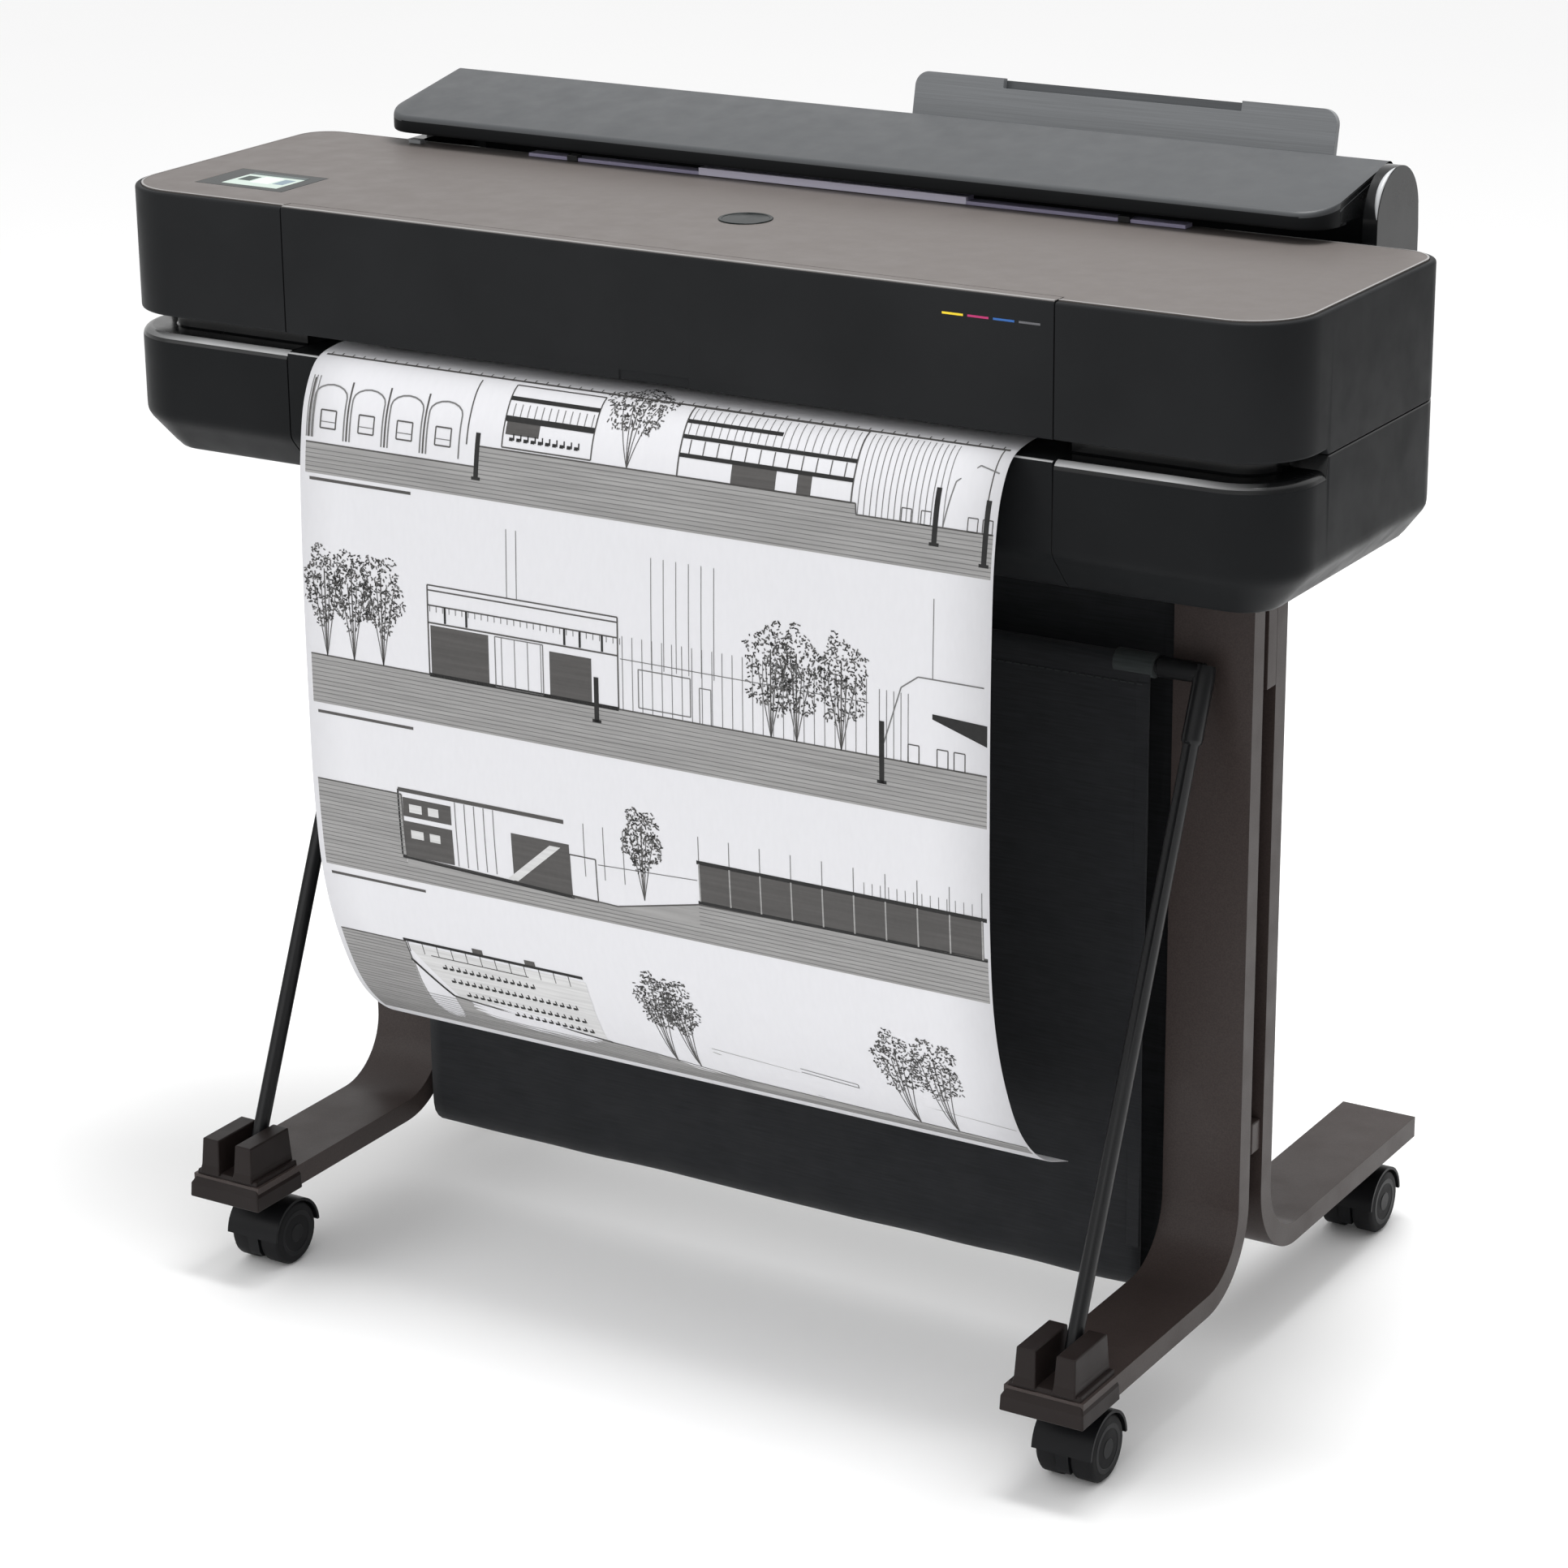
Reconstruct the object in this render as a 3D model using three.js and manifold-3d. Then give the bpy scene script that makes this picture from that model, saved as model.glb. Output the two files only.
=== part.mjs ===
// A 24-inch roll-fed large format plotter on a two-legged stand with casters and a print basket.
// Millimetres, +Z up. X runs along the print width, and the machine faces -Y.
// Every Y below counts back from the front face of the case, and the last lines centre the whole.
import * as THREE from 'three';
import { mergeVertices } from 'three/addons/utils/BufferGeometryUtils.js';
import Module from 'manifold-3d';

const wasm = await Module();
wasm.setup();

// ---------- driving dimensions ----------
const GAP = 0.3;               // clearance between pieces that touch
const SEAM_GAP = 0.5;          // half the joint between two neighbouring covers
const WALL = 3;                // moulded wall
const BEYOND = 10;             // how far a cutting shape runs past what it cuts

const CASE_HALF = 511.5;       // half the case's width
const CASE_DEPTH = 276;
const CASE_TOP = 888;
const CASE_BOTTOM = 674;
const CORNER_FRONT = 55;       // vertical corner radii of the case, seen from above
const CORNER_REAR = 32;
const SEAM_LEFT = -340;        // joints between the end pieces and the middle covers
const SEAM_RIGHT = 333;
const RIM_TOP = CASE_TOP - 1;
const UPPER_BOTTOM = 788;      // the recess between the two halves of the case
const LOWER_TOP = 773;
const PARTING = 784;           // thin parting line that carries on behind the recess
const RECESS_DEPTH = 28;
const RECESS_END = 70;
const CHAMFER_TOP = 704;       // sloping underside of the lower half
const CHAMFER_SIDE = 26;
const CHAMFER_FRONT = 26;
const SHELF_DEPTH = 56;        // floor of the recess, below the slot
const PAN_LAP = 14;            // how far the front panel reaches under the base pan

const PLATE_THICK = 3.7;       // coloured top cover
const PLATE_INSET = 5;
const PLATE_BED = 6;           // how thick the rim under the top cover is
const FLANGE = 14;             // part of the front cover that wraps over the top
const DISPLAY = { x: [-458, -372], y: [44, 106], thick: 2 };
const GRIP = { half: 30, deep: 1.4, high: 9 };   // finger grip of the front cover

const PAPER_HALF = 305;        // 610 mm wide roll paper
const PAPER_THICK = 0.8;
const PAPER_Z = 779;           // level at which the paper leaves the slot

const HINGE = { y: 345, z: 895, pin: 8 };        // axis of the roll cover
const COVER_HALF = 424;
const COVER_LIP = { y: 247, low: 898, top: 913 };
const COVER_RIDGE = { y: 365, z: 932 };
const COVER_REAR = { y: 388, z: 908 };
const COVER_CORNER = 28;
const END_PLATE = { x: [428, 440], radius: 38, lug: 12, front: 280, rear: 384, low: 768,
  shoulder: 880 };
const BAY = { front: 277, rear: 400, low: 768, frontTop: 815, rearTop: 884 };

const ROLL = { y: 338, z: 822, radius: 39, core: 26, flange: 44, shaft: 10 };
const TRAY = { x: [-14, 356], y: 404, z: 884, height: 73, thick: 6, lean: 12, corner: 12 };
const TRAY_BARREL = 4;
const TRAY_LUG = 10;
const TRAY_SLOT = { x: [66, 275], depth: 8 };
const EXTENSION = { x: [59, 282], z: [6, 71.5], thick: 2.4 };
const GUIDE = { x: [-283, 308], y: [256, 268], bright: [-120, 122] };

const SHEET_STEPS = 44;        // facets along the hanging print
const PLATEN = { y: [58, 136], z: [767, 777], edge: 3 };
const BEAM = { y: [182, 206], z: [822, 876], wall: 3 };
const STATION = { x: [396, 470], y: [70, 160], z: [700, 786], wall: 6, depth: 14 };
const ROLLER = { y: 152, z: 764, radius: 14, shaft: 5, pulley: 30 };
const PINCH = { z: 787, radius: 7, shaft: 3, count: 6, width: 26 };
const MOTOR = { y: 96, z: 730, radius: 20, pulley: 12, shaft: 4, x: [-432, -384] };
const PULLEY_X = [-372, -362];
const BELT_THICK = 1.6;
const BOX_HALF = 452;          // half the width of the electronics box
const BOX_REAR = 337;          // rear face of the electronics box
const INLET = { x: [-400, -368], z: [692, 716], depth: 16, rim: 3 };
const RAIL = { y: 120, z: 848, radius: 7, half: 486 };
const CARRIAGE = { half: 42, y: [62, 166], z: [800, 870] };
const CUTTER = { x: [-326, -300], y: [20, 42], z: [784, 792] };
const INK = {
  first: 252, step: 19, width: 16, y: [12, 50], z: [798, 858],
  inks: [['yellow', 0xf2d400], ['magenta', 0xd0107a], ['cyan', 0x1283c4], ['black', 0x54585c]],
};

const LEG_X = 378;             // centre of each leg
const LEG_WIDTH = 66;
const LEG_MIDDLE = 204;        // plane between the two plates of a leg
const LEG_GAP = 22;
const LEG_PLATE = 18;
const LEG_BEND = 70;
const LEG_TOP = 669;
const FOOT_BOTTOM = 74;
const FRONT_REACH = -88;       // front of the foot caps
const REAR_REACH = 521;       // rear tips of the feet
const CAP = { rear: -28, base: 96, top: 124, low: 72, slot: 15, block: 18 };
const CAP_LIP = 4;             // how far a cap stands out past the plate's end
const HEAD = { y: [150, 262], lap: 5 };  // plates that carry the case on the legs
const CROSS_LOW = 560;         // lower edge of the sheet between the legs
const LOWER_BRACE = { z: [180, 206], inset: 2 };
const BRACE_Y = [200, 214.7];

const WHEEL_RADIUS = 27;
const CASTER = { trail: 13, tyre: 18, plate: 12, hood: 30, skin: 2.4, stem: 6, axle: 4, webLow: 11 };
const CASTER_FRONT_Y = -38;
const CASTER_REAR_Y = 470;

const ROD = { x: 378.5, y: -38, z: 112, half: [6, 7], below: 7, sleeve: 52, skin: 2 };
const TUBE = { y: 160, z: 579, radius: 6, half: 340.5 };
const FABRIC = { half: 337, thick: 2, rear: 198, top: 640, fold: 84, split: 102, slack: 0.4 };

// ---------- finishes ----------
const finish = (color, roughness, metalness = 0) =>
  new THREE.MeshStandardMaterial({ color, roughness, metalness });
const CHARCOAL = finish(0x2a2b2d, 0.45);
const TAUPE = finish(0x877c79, 0.5);
const SLATE = finish(0x55585a, 0.55);
const BLACK = finish(0x17181a, 0.4);
const BROWN = finish(0x3d3433, 0.45, 0.3);
const STEEL = finish(0xb4b7ba, 0.35, 0.9);
const RUBBER = finish(0x1a1a1c, 0.8);
const CLOTH = finish(0x1d1f22, 0.9);
const PAPER = finish(0xf4f4f2, 0.85);
const GLASS = finish(0x101416, 0.15);
const GUIDE_GREY = finish(0xa5a3b4, 0.6);
const GREY = finish(0x8b8e91, 0.6);

// ---------- shape helpers ----------
const ALONG_X = new THREE.Matrix4().makeBasis(
  new THREE.Vector3(0, 1, 0), new THREE.Vector3(0, 0, 1), new THREE.Vector3(1, 0, 0));

const middle = ([low, high]) => (low + high) / 2;
const length = ([low, high]) => high - low;
const mirrored = ([low, high], side) => (side > 0 ? [low, high] : [-high, -low]);

function block(x, y, z) {
  const box = new THREE.BoxGeometry(length(x), length(y), length(z));
  return box.translate(middle(x), middle(y), middle(z));
}

// A shape drawn in (y, z), extruded along X.
function prismX(shape, x, curveSegments = 8) {
  const settings = { depth: length(x), bevelEnabled: false, curveSegments };
  return new THREE.ExtrudeGeometry(shape, settings).applyMatrix4(ALONG_X).translate(x[0], 0, 0);
}

// A shape drawn in (x, y), extruded upwards.
function prismZ(shape, z, curveSegments = 6) {
  const settings = { depth: length(z), bevelEnabled: false, curveSegments };
  return new THREE.ExtrudeGeometry(shape, settings).translate(0, 0, z[0]);
}

function rodX(radius, x, y, z, sides = 20) {
  const rod = new THREE.CylinderGeometry(radius, radius, length(x), sides);
  return rod.rotateZ(-Math.PI / 2).translate(middle(x), y, z);
}

function rodZ(radius, x, y, z, sides = 16) {
  const rod = new THREE.CylinderGeometry(radius, radius, length(z), sides);
  return rod.rotateX(Math.PI / 2).translate(x, y, middle(z));
}

function polygon(points) {
  return new THREE.Shape(points.map(([u, v]) => new THREE.Vector2(u, v)));
}

function toSolid(geometry) {
  const bare = geometry.clone();
  bare.deleteAttribute('normal');
  bare.deleteAttribute('uv');
  const merged = mergeVertices(bare, 1e-4);
  return new wasm.Manifold(new wasm.Mesh({
    numProp: 3,
    vertProperties: new Float32Array(merged.attributes.position.array),
    triVerts: new Uint32Array(merged.index.array),
  }));
}

function toGeometry(solid) {
  const mesh = solid.getMesh();
  const geometry = new THREE.BufferGeometry();
  geometry.setAttribute('position', new THREE.BufferAttribute(mesh.vertProperties, 3));
  geometry.setIndex(new THREE.BufferAttribute(mesh.triVerts, 1));
  geometry.computeVertexNormals();
  return geometry;
}

const join = (...geometries) => geometries.map(toSolid).reduce((a, b) => a.add(b));
const cut = (solid, ...geometries) => geometries.map(toSolid).reduce((a, b) => a.subtract(b), solid);

function mesh(name, shape, material) {
  const geometry = shape instanceof THREE.BufferGeometry ? shape : toGeometry(shape);
  const piece = new THREE.Mesh(geometry, material);
  piece.name = name;
  return piece;
}

function groupOf(...pieces) {
  const group = new THREE.Group();
  group.add(...pieces);
  return group;
}

// The case seen from above, a rounded rectangle set in by the given amounts.
function caseOutline(inset, front = inset, rear = CASE_DEPTH - inset) {
  const half = CASE_HALF - inset;
  const rf = Math.max(CORNER_FRONT - inset, 2);
  const rr = Math.max(CORNER_REAR - inset, 2);
  const shape = new THREE.Shape();
  shape.moveTo(-half + rf, front);
  shape.lineTo(half - rf, front);
  shape.absarc(half - rf, front + rf, rf, -Math.PI / 2, 0);
  shape.lineTo(half, rear - rr);
  shape.absarc(half - rr, rear - rr, rr, 0, Math.PI / 2);
  shape.lineTo(-half + rr, rear);
  shape.absarc(-half + rr, rear - rr, rr, Math.PI / 2, Math.PI);
  shape.lineTo(-half, front + rf);
  shape.absarc(-half + rf, front + rf, rf, Math.PI, Math.PI * 1.5);
  return shape;
}

// A body between two outlines that have the same number of points.
function loft(lowShape, lowZ, highShape, highZ, curveSegments = 6) {
  const outlines = [lowShape, highShape].map((shape) => shape.getPoints(curveSegments));
  const isNew = (p, i, all) => p.distanceTo(all[(i + all.length - 1) % all.length]) > 1e-3;
  const [low, high] = outlines.map((points) => points.filter(isNew));
  const count = low.length;
  const vertices = [...low.map((p) => [p.x, p.y, lowZ]), ...high.map((p) => [p.x, p.y, highZ])];
  const faces = [];
  for (let i = 0; i < count; i += 1) {
    const next = (i + 1) % count;
    faces.push(i, next, count + next, i, count + next, count + i);
  }
  THREE.ShapeUtils.triangulateShape([...low], []).forEach(([a, b, c]) => faces.push(c, b, a));
  THREE.ShapeUtils.triangulateShape([...high], [])
    .forEach(([a, b, c]) => faces.push(count + a, count + b, count + c));
  const geometry = new THREE.BufferGeometry();
  geometry.setAttribute('position', new THREE.Float32BufferAttribute(vertices.flat(), 3));
  geometry.setIndex(faces);
  return geometry;
}

const ALL_X = [-CASE_HALF - BEYOND, CASE_HALF + BEYOND];
const ALL_Z = [CASE_BOTTOM - BEYOND, CASE_TOP + BEYOND];
const MIDDLE_X = [SEAM_LEFT + SEAM_GAP, SEAM_RIGHT - SEAM_GAP];
const REAR_WALL = 2 * WALL + 4;

// Everything of the case on one side of a seam.
function endSpace(side) {
  const x = side < 0 ? [ALL_X[0], SEAM_LEFT - SEAM_GAP] : [SEAM_RIGHT + SEAM_GAP, ALL_X[1]];
  return toSolid(block(x, [-BEYOND, CASE_DEPTH + BEYOND], ALL_Z));
}

// Everything of the case behind the recess, where its two halves meet at the parting line.
const behindRecess = () => toSolid(block(ALL_X, [RECESS_END, CASE_DEPTH + BEYOND], ALL_Z));

// The hollow of the case behind the recess, open from the upper half to the lower one.
function rearRoom(low, high) {
  const half = CASE_HALF - REAR_WALL;
  return block([-half, half], [RECESS_END + WALL, CASE_DEPTH - REAR_WALL], [low, high]);
}

// ---------- upper case ----------
function upperEnd(name, side) {
  const skirt = toSolid(prismZ(caseOutline(0), [PARTING + GAP, UPPER_BOTTOM + 1])).intersect(behindRecess());
  const outer = toSolid(prismZ(caseOutline(0), [UPPER_BOTTOM, RIM_TOP])).add(skirt);
  const room = prismZ(caseOutline(WALL), [UPPER_BOTTOM + WALL, RIM_TOP - PLATE_BED]);
  const floorHole = prismZ(caseOutline(RECESS_DEPTH + 2 * WALL), [PARTING - 1, UPPER_BOTTOM + WALL + 1]);
  const rear = rearRoom(PARTING - 1, UPPER_BOTTOM + WALL + 1);
  const pocket = prismZ(caseOutline(PLATE_INSET - GAP), [CASE_TOP - PLATE_THICK - GAP, CASE_TOP + 1]);
  const neckSpace = prismZ(caseOutline(RECESS_DEPTH - GAP), [PARTING - 1, UPPER_BOTTOM]);
  const shell = cut(outer, room, floorHole, rear, neckSpace, pocket);
  return mesh(name, shell.intersect(endSpace(side)), CHARCOAL);
}

function topCover() {
  const plate = toSolid(prismZ(caseOutline(PLATE_INSET), [CASE_TOP - PLATE_THICK, CASE_TOP]));
  const notch = block([SEAM_LEFT - SEAM_GAP, SEAM_RIGHT + SEAM_GAP], [-1, FLANGE + 2 * GAP], ALL_Z);
  const window = block(DISPLAY.x, DISPLAY.y, [CASE_TOP - DISPLAY.thick - GAP, CASE_TOP + 1]);
  return mesh('top_cover', cut(plate, notch, window), TAUPE);
}

function displayPanel() {
  const x = [DISPLAY.x[0] + GAP, DISPLAY.x[1] - GAP];
  const y = [DISPLAY.y[0] + GAP, DISPLAY.y[1] - GAP];
  return mesh('touch_display', block(x, y, [CASE_TOP - DISPLAY.thick, CASE_TOP]), GLASS);
}

function frontCover() {
  const thick = WALL + 1;
  const profile = polygon([
    [0, UPPER_BOTTOM + 2], [2, UPPER_BOTTOM], [thick, UPPER_BOTTOM], [thick, CASE_TOP - thick],
    [FLANGE, CASE_TOP - thick], [FLANGE, CASE_TOP], [2, CASE_TOP], [0, CASE_TOP - 2],
  ]);
  const grip = block([-GRIP.half, GRIP.half], [-1, GRIP.deep], [UPPER_BOTTOM - 1, UPPER_BOTTOM + GRIP.high]);
  return mesh('front_cover', cut(toSolid(prismX(profile, MIDDLE_X)), grip), CHARCOAL);
}

// ---------- lower case ----------
function lowerOutlines(inset) {
  return {
    low: caseOutline(CHAMFER_SIDE + inset, CHAMFER_FRONT + inset, CASE_DEPTH - inset),
    high: caseOutline(inset),
  };
}

function lowerEnd(name, side) {
  const skin = lowerOutlines(0);
  const hollow = lowerOutlines(WALL);
  const raised = toSolid(prismZ(skin.high, [LOWER_TOP - 1, PARTING])).intersect(behindRecess());
  const outer = join(loft(skin.low, CASE_BOTTOM, skin.high, CHAMFER_TOP),
    prismZ(skin.high, [CHAMFER_TOP - 0.01, LOWER_TOP]),
    prismZ(caseOutline(RECESS_DEPTH), [LOWER_TOP - 1, UPPER_BOTTOM - GAP])).add(raised);
  const lowRoom = loft(hollow.low, CASE_BOTTOM + WALL, hollow.high, CHAMFER_TOP + 1);
  const room = prismZ(hollow.high, [CHAMFER_TOP + 0.9, LOWER_TOP - WALL]);
  const neckRoom = prismZ(caseOutline(RECESS_DEPTH + WALL), [LOWER_TOP - WALL - 1, UPPER_BOTTOM + 1]);
  const shell = cut(outer, lowRoom, room, neckRoom, rearRoom(LOWER_TOP - WALL - 1, UPPER_BOTTOM + 1));
  return mesh(name, shell.intersect(endSpace(side)), BLACK);
}

function lowerFrontPanel() {
  const rear = CHAMFER_FRONT + PAN_LAP;
  const profile = polygon([
    [WALL, LOWER_TOP], [SHELF_DEPTH, LOWER_TOP], [SHELF_DEPTH, LOWER_TOP - WALL], [WALL, LOWER_TOP - WALL],
    [WALL, CHAMFER_TOP + 1], [CHAMFER_FRONT + 1, CASE_BOTTOM + WALL], [rear, CASE_BOTTOM + WALL],
    [rear, CASE_BOTTOM], [CHAMFER_FRONT, CASE_BOTTOM], [0, CHAMFER_TOP], [0, LOWER_TOP - WALL],
  ]);
  return mesh('lower_front_panel', prismX(profile, MIDDLE_X), BLACK);
}

function basePan() {
  const y = [CHAMFER_FRONT + PAN_LAP + GAP, CASE_DEPTH];
  return mesh('base_pan', block(MIDDLE_X, y, [CASE_BOTTOM, CASE_BOTTOM + WALL]), STEEL);
}

function electronicsBox() {
  const y = [CASE_DEPTH + GAP, BOX_REAR];
  const z = [CASE_BOTTOM, BAY.low - GAP];
  const box = toSolid(block([-BOX_HALF, BOX_HALF], y, z));
  const roomX = [-BOX_HALF + WALL, BOX_HALF - WALL];
  const room = block(roomX, [CASE_DEPTH - 5, y[1] - WALL], [z[0] + WALL, z[1] - WALL]);
  const inletHole = block(INLET.x, [y[1] - 10, y[1] + 10], INLET.z);
  return mesh('electronics_box', cut(box, room, inletHole), BLACK);
}

function powerInlet() {
  const x = [INLET.x[0] + GAP, INLET.x[1] - GAP];
  const z = [INLET.z[0] + GAP, INLET.z[1] - GAP];
  const inset = ([low, high]) => [low + INLET.rim, high - INLET.rim];
  const body = toSolid(block(x, [BOX_REAR - INLET.depth, BOX_REAR + 1], z));
  const socket = block(inset(x), [BOX_REAR - INLET.depth + 2, BOX_REAR + BEYOND], inset(z));
  return mesh('power_inlet', cut(body, socket), BLACK);
}

// ---------- roll unit ----------
function rollBay() {
  const profile = polygon([
    [BAY.front, BAY.frontTop], [BAY.front, BAY.low], [BAY.rear, BAY.low], [BAY.rear, BAY.rearTop],
    [BAY.rear - 4, BAY.rearTop], [BAY.rear - 4, BAY.low + WALL], [BAY.front + WALL, BAY.low + WALL],
    [BAY.front + WALL, BAY.frontTop],
  ]);
  const lugX = [[TRAY.x[0] - TRAY_LUG, TRAY.x[0] - SEAM_GAP], [TRAY.x[1] + SEAM_GAP, TRAY.x[1] + TRAY_LUG]];
  const lugZ = [TRAY.z - 2 * TRAY.thick, TRAY.z + TRAY.thick];
  const lugs = lugX.map((x) => block(x, [BAY.rear - 4, TRAY.y + TRAY.thick], lugZ));
  return mesh('roll_bay', join(prismX(profile, [-COVER_HALF, COVER_HALF]), ...lugs), BLACK);
}

function endPlateProfile(radius) {
  const { front, rear, low, shoulder } = END_PLATE;
  const shape = new THREE.Shape();
  shape.moveTo(front, low);
  shape.lineTo(rear, low);
  shape.lineTo(rear, shoulder);
  shape.lineTo(HINGE.y + radius, HINGE.z);
  shape.absarc(HINGE.y, HINGE.z, radius, 0, Math.PI);
  shape.lineTo(HINGE.y - radius, shoulder);
  shape.lineTo(front, shoulder);
  return shape;
}

function rollEnd(name, side, radius) {
  return mesh(name, prismX(endPlateProfile(radius), mirrored(END_PLATE.x, side), 12), BLACK);
}

function coverEndProfile() {
  const shape = new THREE.Shape();
  shape.moveTo(COVER_LIP.y + 8, COVER_LIP.low + 1);
  shape.lineTo(HINGE.y - 40, COVER_LIP.low + 1);
  shape.lineTo(HINGE.y - 12, HINGE.z - 8);
  shape.absarc(HINGE.y, HINGE.z, 14, Math.PI * 1.2, Math.PI * 1.8);
  shape.lineTo(COVER_REAR.y - 1, COVER_REAR.z);
  shape.lineTo(COVER_RIDGE.y, COVER_RIDGE.z - 2);
  shape.lineTo(COVER_LIP.y + 8, COVER_LIP.top - 2);
  return shape;
}

function rollCover() {
  const profile = polygon([
    [COVER_LIP.y, COVER_LIP.low + 2], [COVER_LIP.y + 2, COVER_LIP.low], [COVER_LIP.y + 14, COVER_LIP.low],
    [COVER_LIP.y + 14, COVER_LIP.low + 2], [COVER_LIP.y + WALL, COVER_LIP.low + 4],
    [COVER_LIP.y + WALL, COVER_LIP.top - 5], [COVER_RIDGE.y - 4, COVER_RIDGE.z - WALL - 1],
    [COVER_REAR.y - WALL, COVER_REAR.z + 1], [COVER_REAR.y - WALL, COVER_REAR.z - 8],
    [COVER_REAR.y, COVER_REAR.z - 8], [COVER_REAR.y, COVER_REAR.z + 2],
    [COVER_RIDGE.y + 6, COVER_RIDGE.z - 2], [COVER_RIDGE.y, COVER_RIDGE.z],
    [COVER_RIDGE.y - 8, COVER_RIDGE.z - 0.4], [COVER_LIP.y + 5, COVER_LIP.top + 0.6],
    [COVER_LIP.y + 1, COVER_LIP.top - 1], [COVER_LIP.y, COVER_LIP.top - 4],
  ]);
  const plan = new THREE.Shape();
  plan.moveTo(-COVER_HALF + COVER_CORNER, COVER_LIP.y);
  plan.lineTo(COVER_HALF - COVER_CORNER, COVER_LIP.y);
  plan.absarc(COVER_HALF - COVER_CORNER, COVER_LIP.y + COVER_CORNER, COVER_CORNER, -Math.PI / 2, 0);
  plan.lineTo(COVER_HALF, COVER_REAR.y + 5);
  plan.lineTo(-COVER_HALF, COVER_REAR.y + 5);
  plan.absarc(-COVER_HALF + COVER_CORNER, COVER_LIP.y + COVER_CORNER, COVER_CORNER, Math.PI, Math.PI * 1.5);
  const ends = [-1, 1].map((side) => prismX(coverEndProfile(), mirrored([COVER_HALF - 4, COVER_HALF], side)));
  const trimmed = join(prismX(profile, [-COVER_HALF, COVER_HALF]), ...ends)
    .intersect(toSolid(prismZ(plan, [HINGE.z - 40, COVER_RIDGE.z + BEYOND])));
  const rims = toSolid(coverCornerRims(plan));
  const pinX = [COVER_HALF - 1, END_PLATE.x[0] - GAP];
  const pins = [-1, 1].map((side) => rodX(HINGE.pin, mirrored(pinX, side), HINGE.y, HINGE.z));
  const whole = pins.map(toSolid).reduce((a, b) => a.add(b), trimmed.add(rims));
  return mesh('roll_cover', whole, SLATE);
}

// The lip's height all round the front corners, so that the rounded corners are closed too.
function coverCornerRims(plan) {
  const band = toSolid(prismZ(plan, [COVER_LIP.low, COVER_LIP.top - 2]));
  const curved = COVER_LIP.y + COVER_CORNER;
  const spaceZ = [COVER_LIP.low - 1, COVER_RIDGE.z];
  const space = (half, y) => block([-half, half], [y, COVER_REAR.y + BEYOND], spaceZ);
  const inner = space(COVER_HALF - 4, curved);
  const middlePart = space(COVER_HALF - COVER_CORNER, COVER_LIP.y + WALL);
  const behind = space(COVER_HALF + 1, curved + 6);
  return toGeometry(cut(band, inner, middlePart, behind));
}

function trayPanel(x, z, thick, corner) {
  const shape = new THREE.Shape();
  shape.moveTo(x[0], z[0]);
  shape.lineTo(x[1], z[0]);
  shape.lineTo(x[1], z[1] - corner);
  shape.absarc(x[1] - corner, z[1] - corner, corner, 0, Math.PI / 2);
  shape.lineTo(x[0] + corner, z[1]);
  shape.absarc(x[0] + corner, z[1] - corner, corner, Math.PI / 2, Math.PI);
  const panel = new THREE.ExtrudeGeometry(shape, { depth: thick, bevelEnabled: false, curveSegments: 5 });
  return panel.rotateX(Math.PI / 2).translate(0, thick, 0);
}

// The tray and its extension lean back together about the tray's foot.
function feeder() {
  const slot = block(TRAY_SLOT.x, [-1, TRAY.thick + 1],
    [TRAY.height - TRAY_SLOT.depth, TRAY.height + 1]);
  const sheet = join(trayPanel(TRAY.x, [0, TRAY.height], TRAY.thick, TRAY.corner),
    rodX(TRAY_BARREL, TRAY.x, 0, 0));
  const panel = cut(sheet, slot);
  const tray = mesh('feeder_tray', panel, SLATE);
  const extension = mesh('feeder_extension',
    trayPanel(EXTENSION.x, EXTENSION.z, EXTENSION.thick, 6), SLATE);
  extension.position.y = TRAY.thick + GAP;
  const group = groupOf(tray, extension);
  group.position.set(0, TRAY.y, TRAY.z);
  group.rotation.x = -THREE.MathUtils.degToRad(TRAY.lean);
  return group;
}

function inputGuide() {
  const low = CASE_TOP + GAP;
  const strip = join(block(GUIDE.x, GUIDE.y, [low, low + 3]),
    block(GUIDE.bright, [GUIDE.y[0] + 2, GUIDE.y[1]], [low, low + 6]));
  return mesh('input_guide', strip, GUIDE_GREY);
}

// A body of revolution about X: pairs of (x, radius) from one end to the other.
function turnedX(stations, y, z, sides = 24) {
  const first = stations[0][0];
  const last = stations[stations.length - 1][0];
  const outline = [[first, 0], ...stations, [last, 0]].map(([x, r]) => new THREE.Vector2(r, x));
  return new THREE.LatheGeometry(outline, sides).rotateZ(-Math.PI / 2).translate(0, y, z);
}

function spindle() {
  const end = END_PLATE.x[0] - 0.6;
  const stations = [[-end, ROLL.shaft], [-PAPER_HALF - 13, ROLL.shaft], [-PAPER_HALF - 13, ROLL.flange],
    [-PAPER_HALF - 3, ROLL.flange], [-PAPER_HALF - 3, ROLL.core - 4], [-PAPER_HALF + 24, ROLL.core - 4],
    [-PAPER_HALF + 24, ROLL.shaft], [end, ROLL.shaft]];
  return mesh('roll_spindle', turnedX(stations, ROLL.y, ROLL.z), BLACK);
}

function ringX(outer, inner, x, y, z, sides = 24) {
  return cut(toSolid(rodX(outer, x, y, z, sides)), rodX(inner, [x[0] - 1, x[1] + 1], y, z, sides));
}

function spindleStop() {
  return mesh('spindle_stop',
    ringX(ROLL.flange, ROLL.shaft + GAP, [PAPER_HALF + 3, PAPER_HALF + 13], ROLL.y, ROLL.z), BLACK);
}

function paperRoll() {
  const x = [-PAPER_HALF, PAPER_HALF];
  return mesh('paper_roll', ringX(ROLL.radius, ROLL.core, x, ROLL.y, ROLL.z, 32), PAPER);
}

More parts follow.
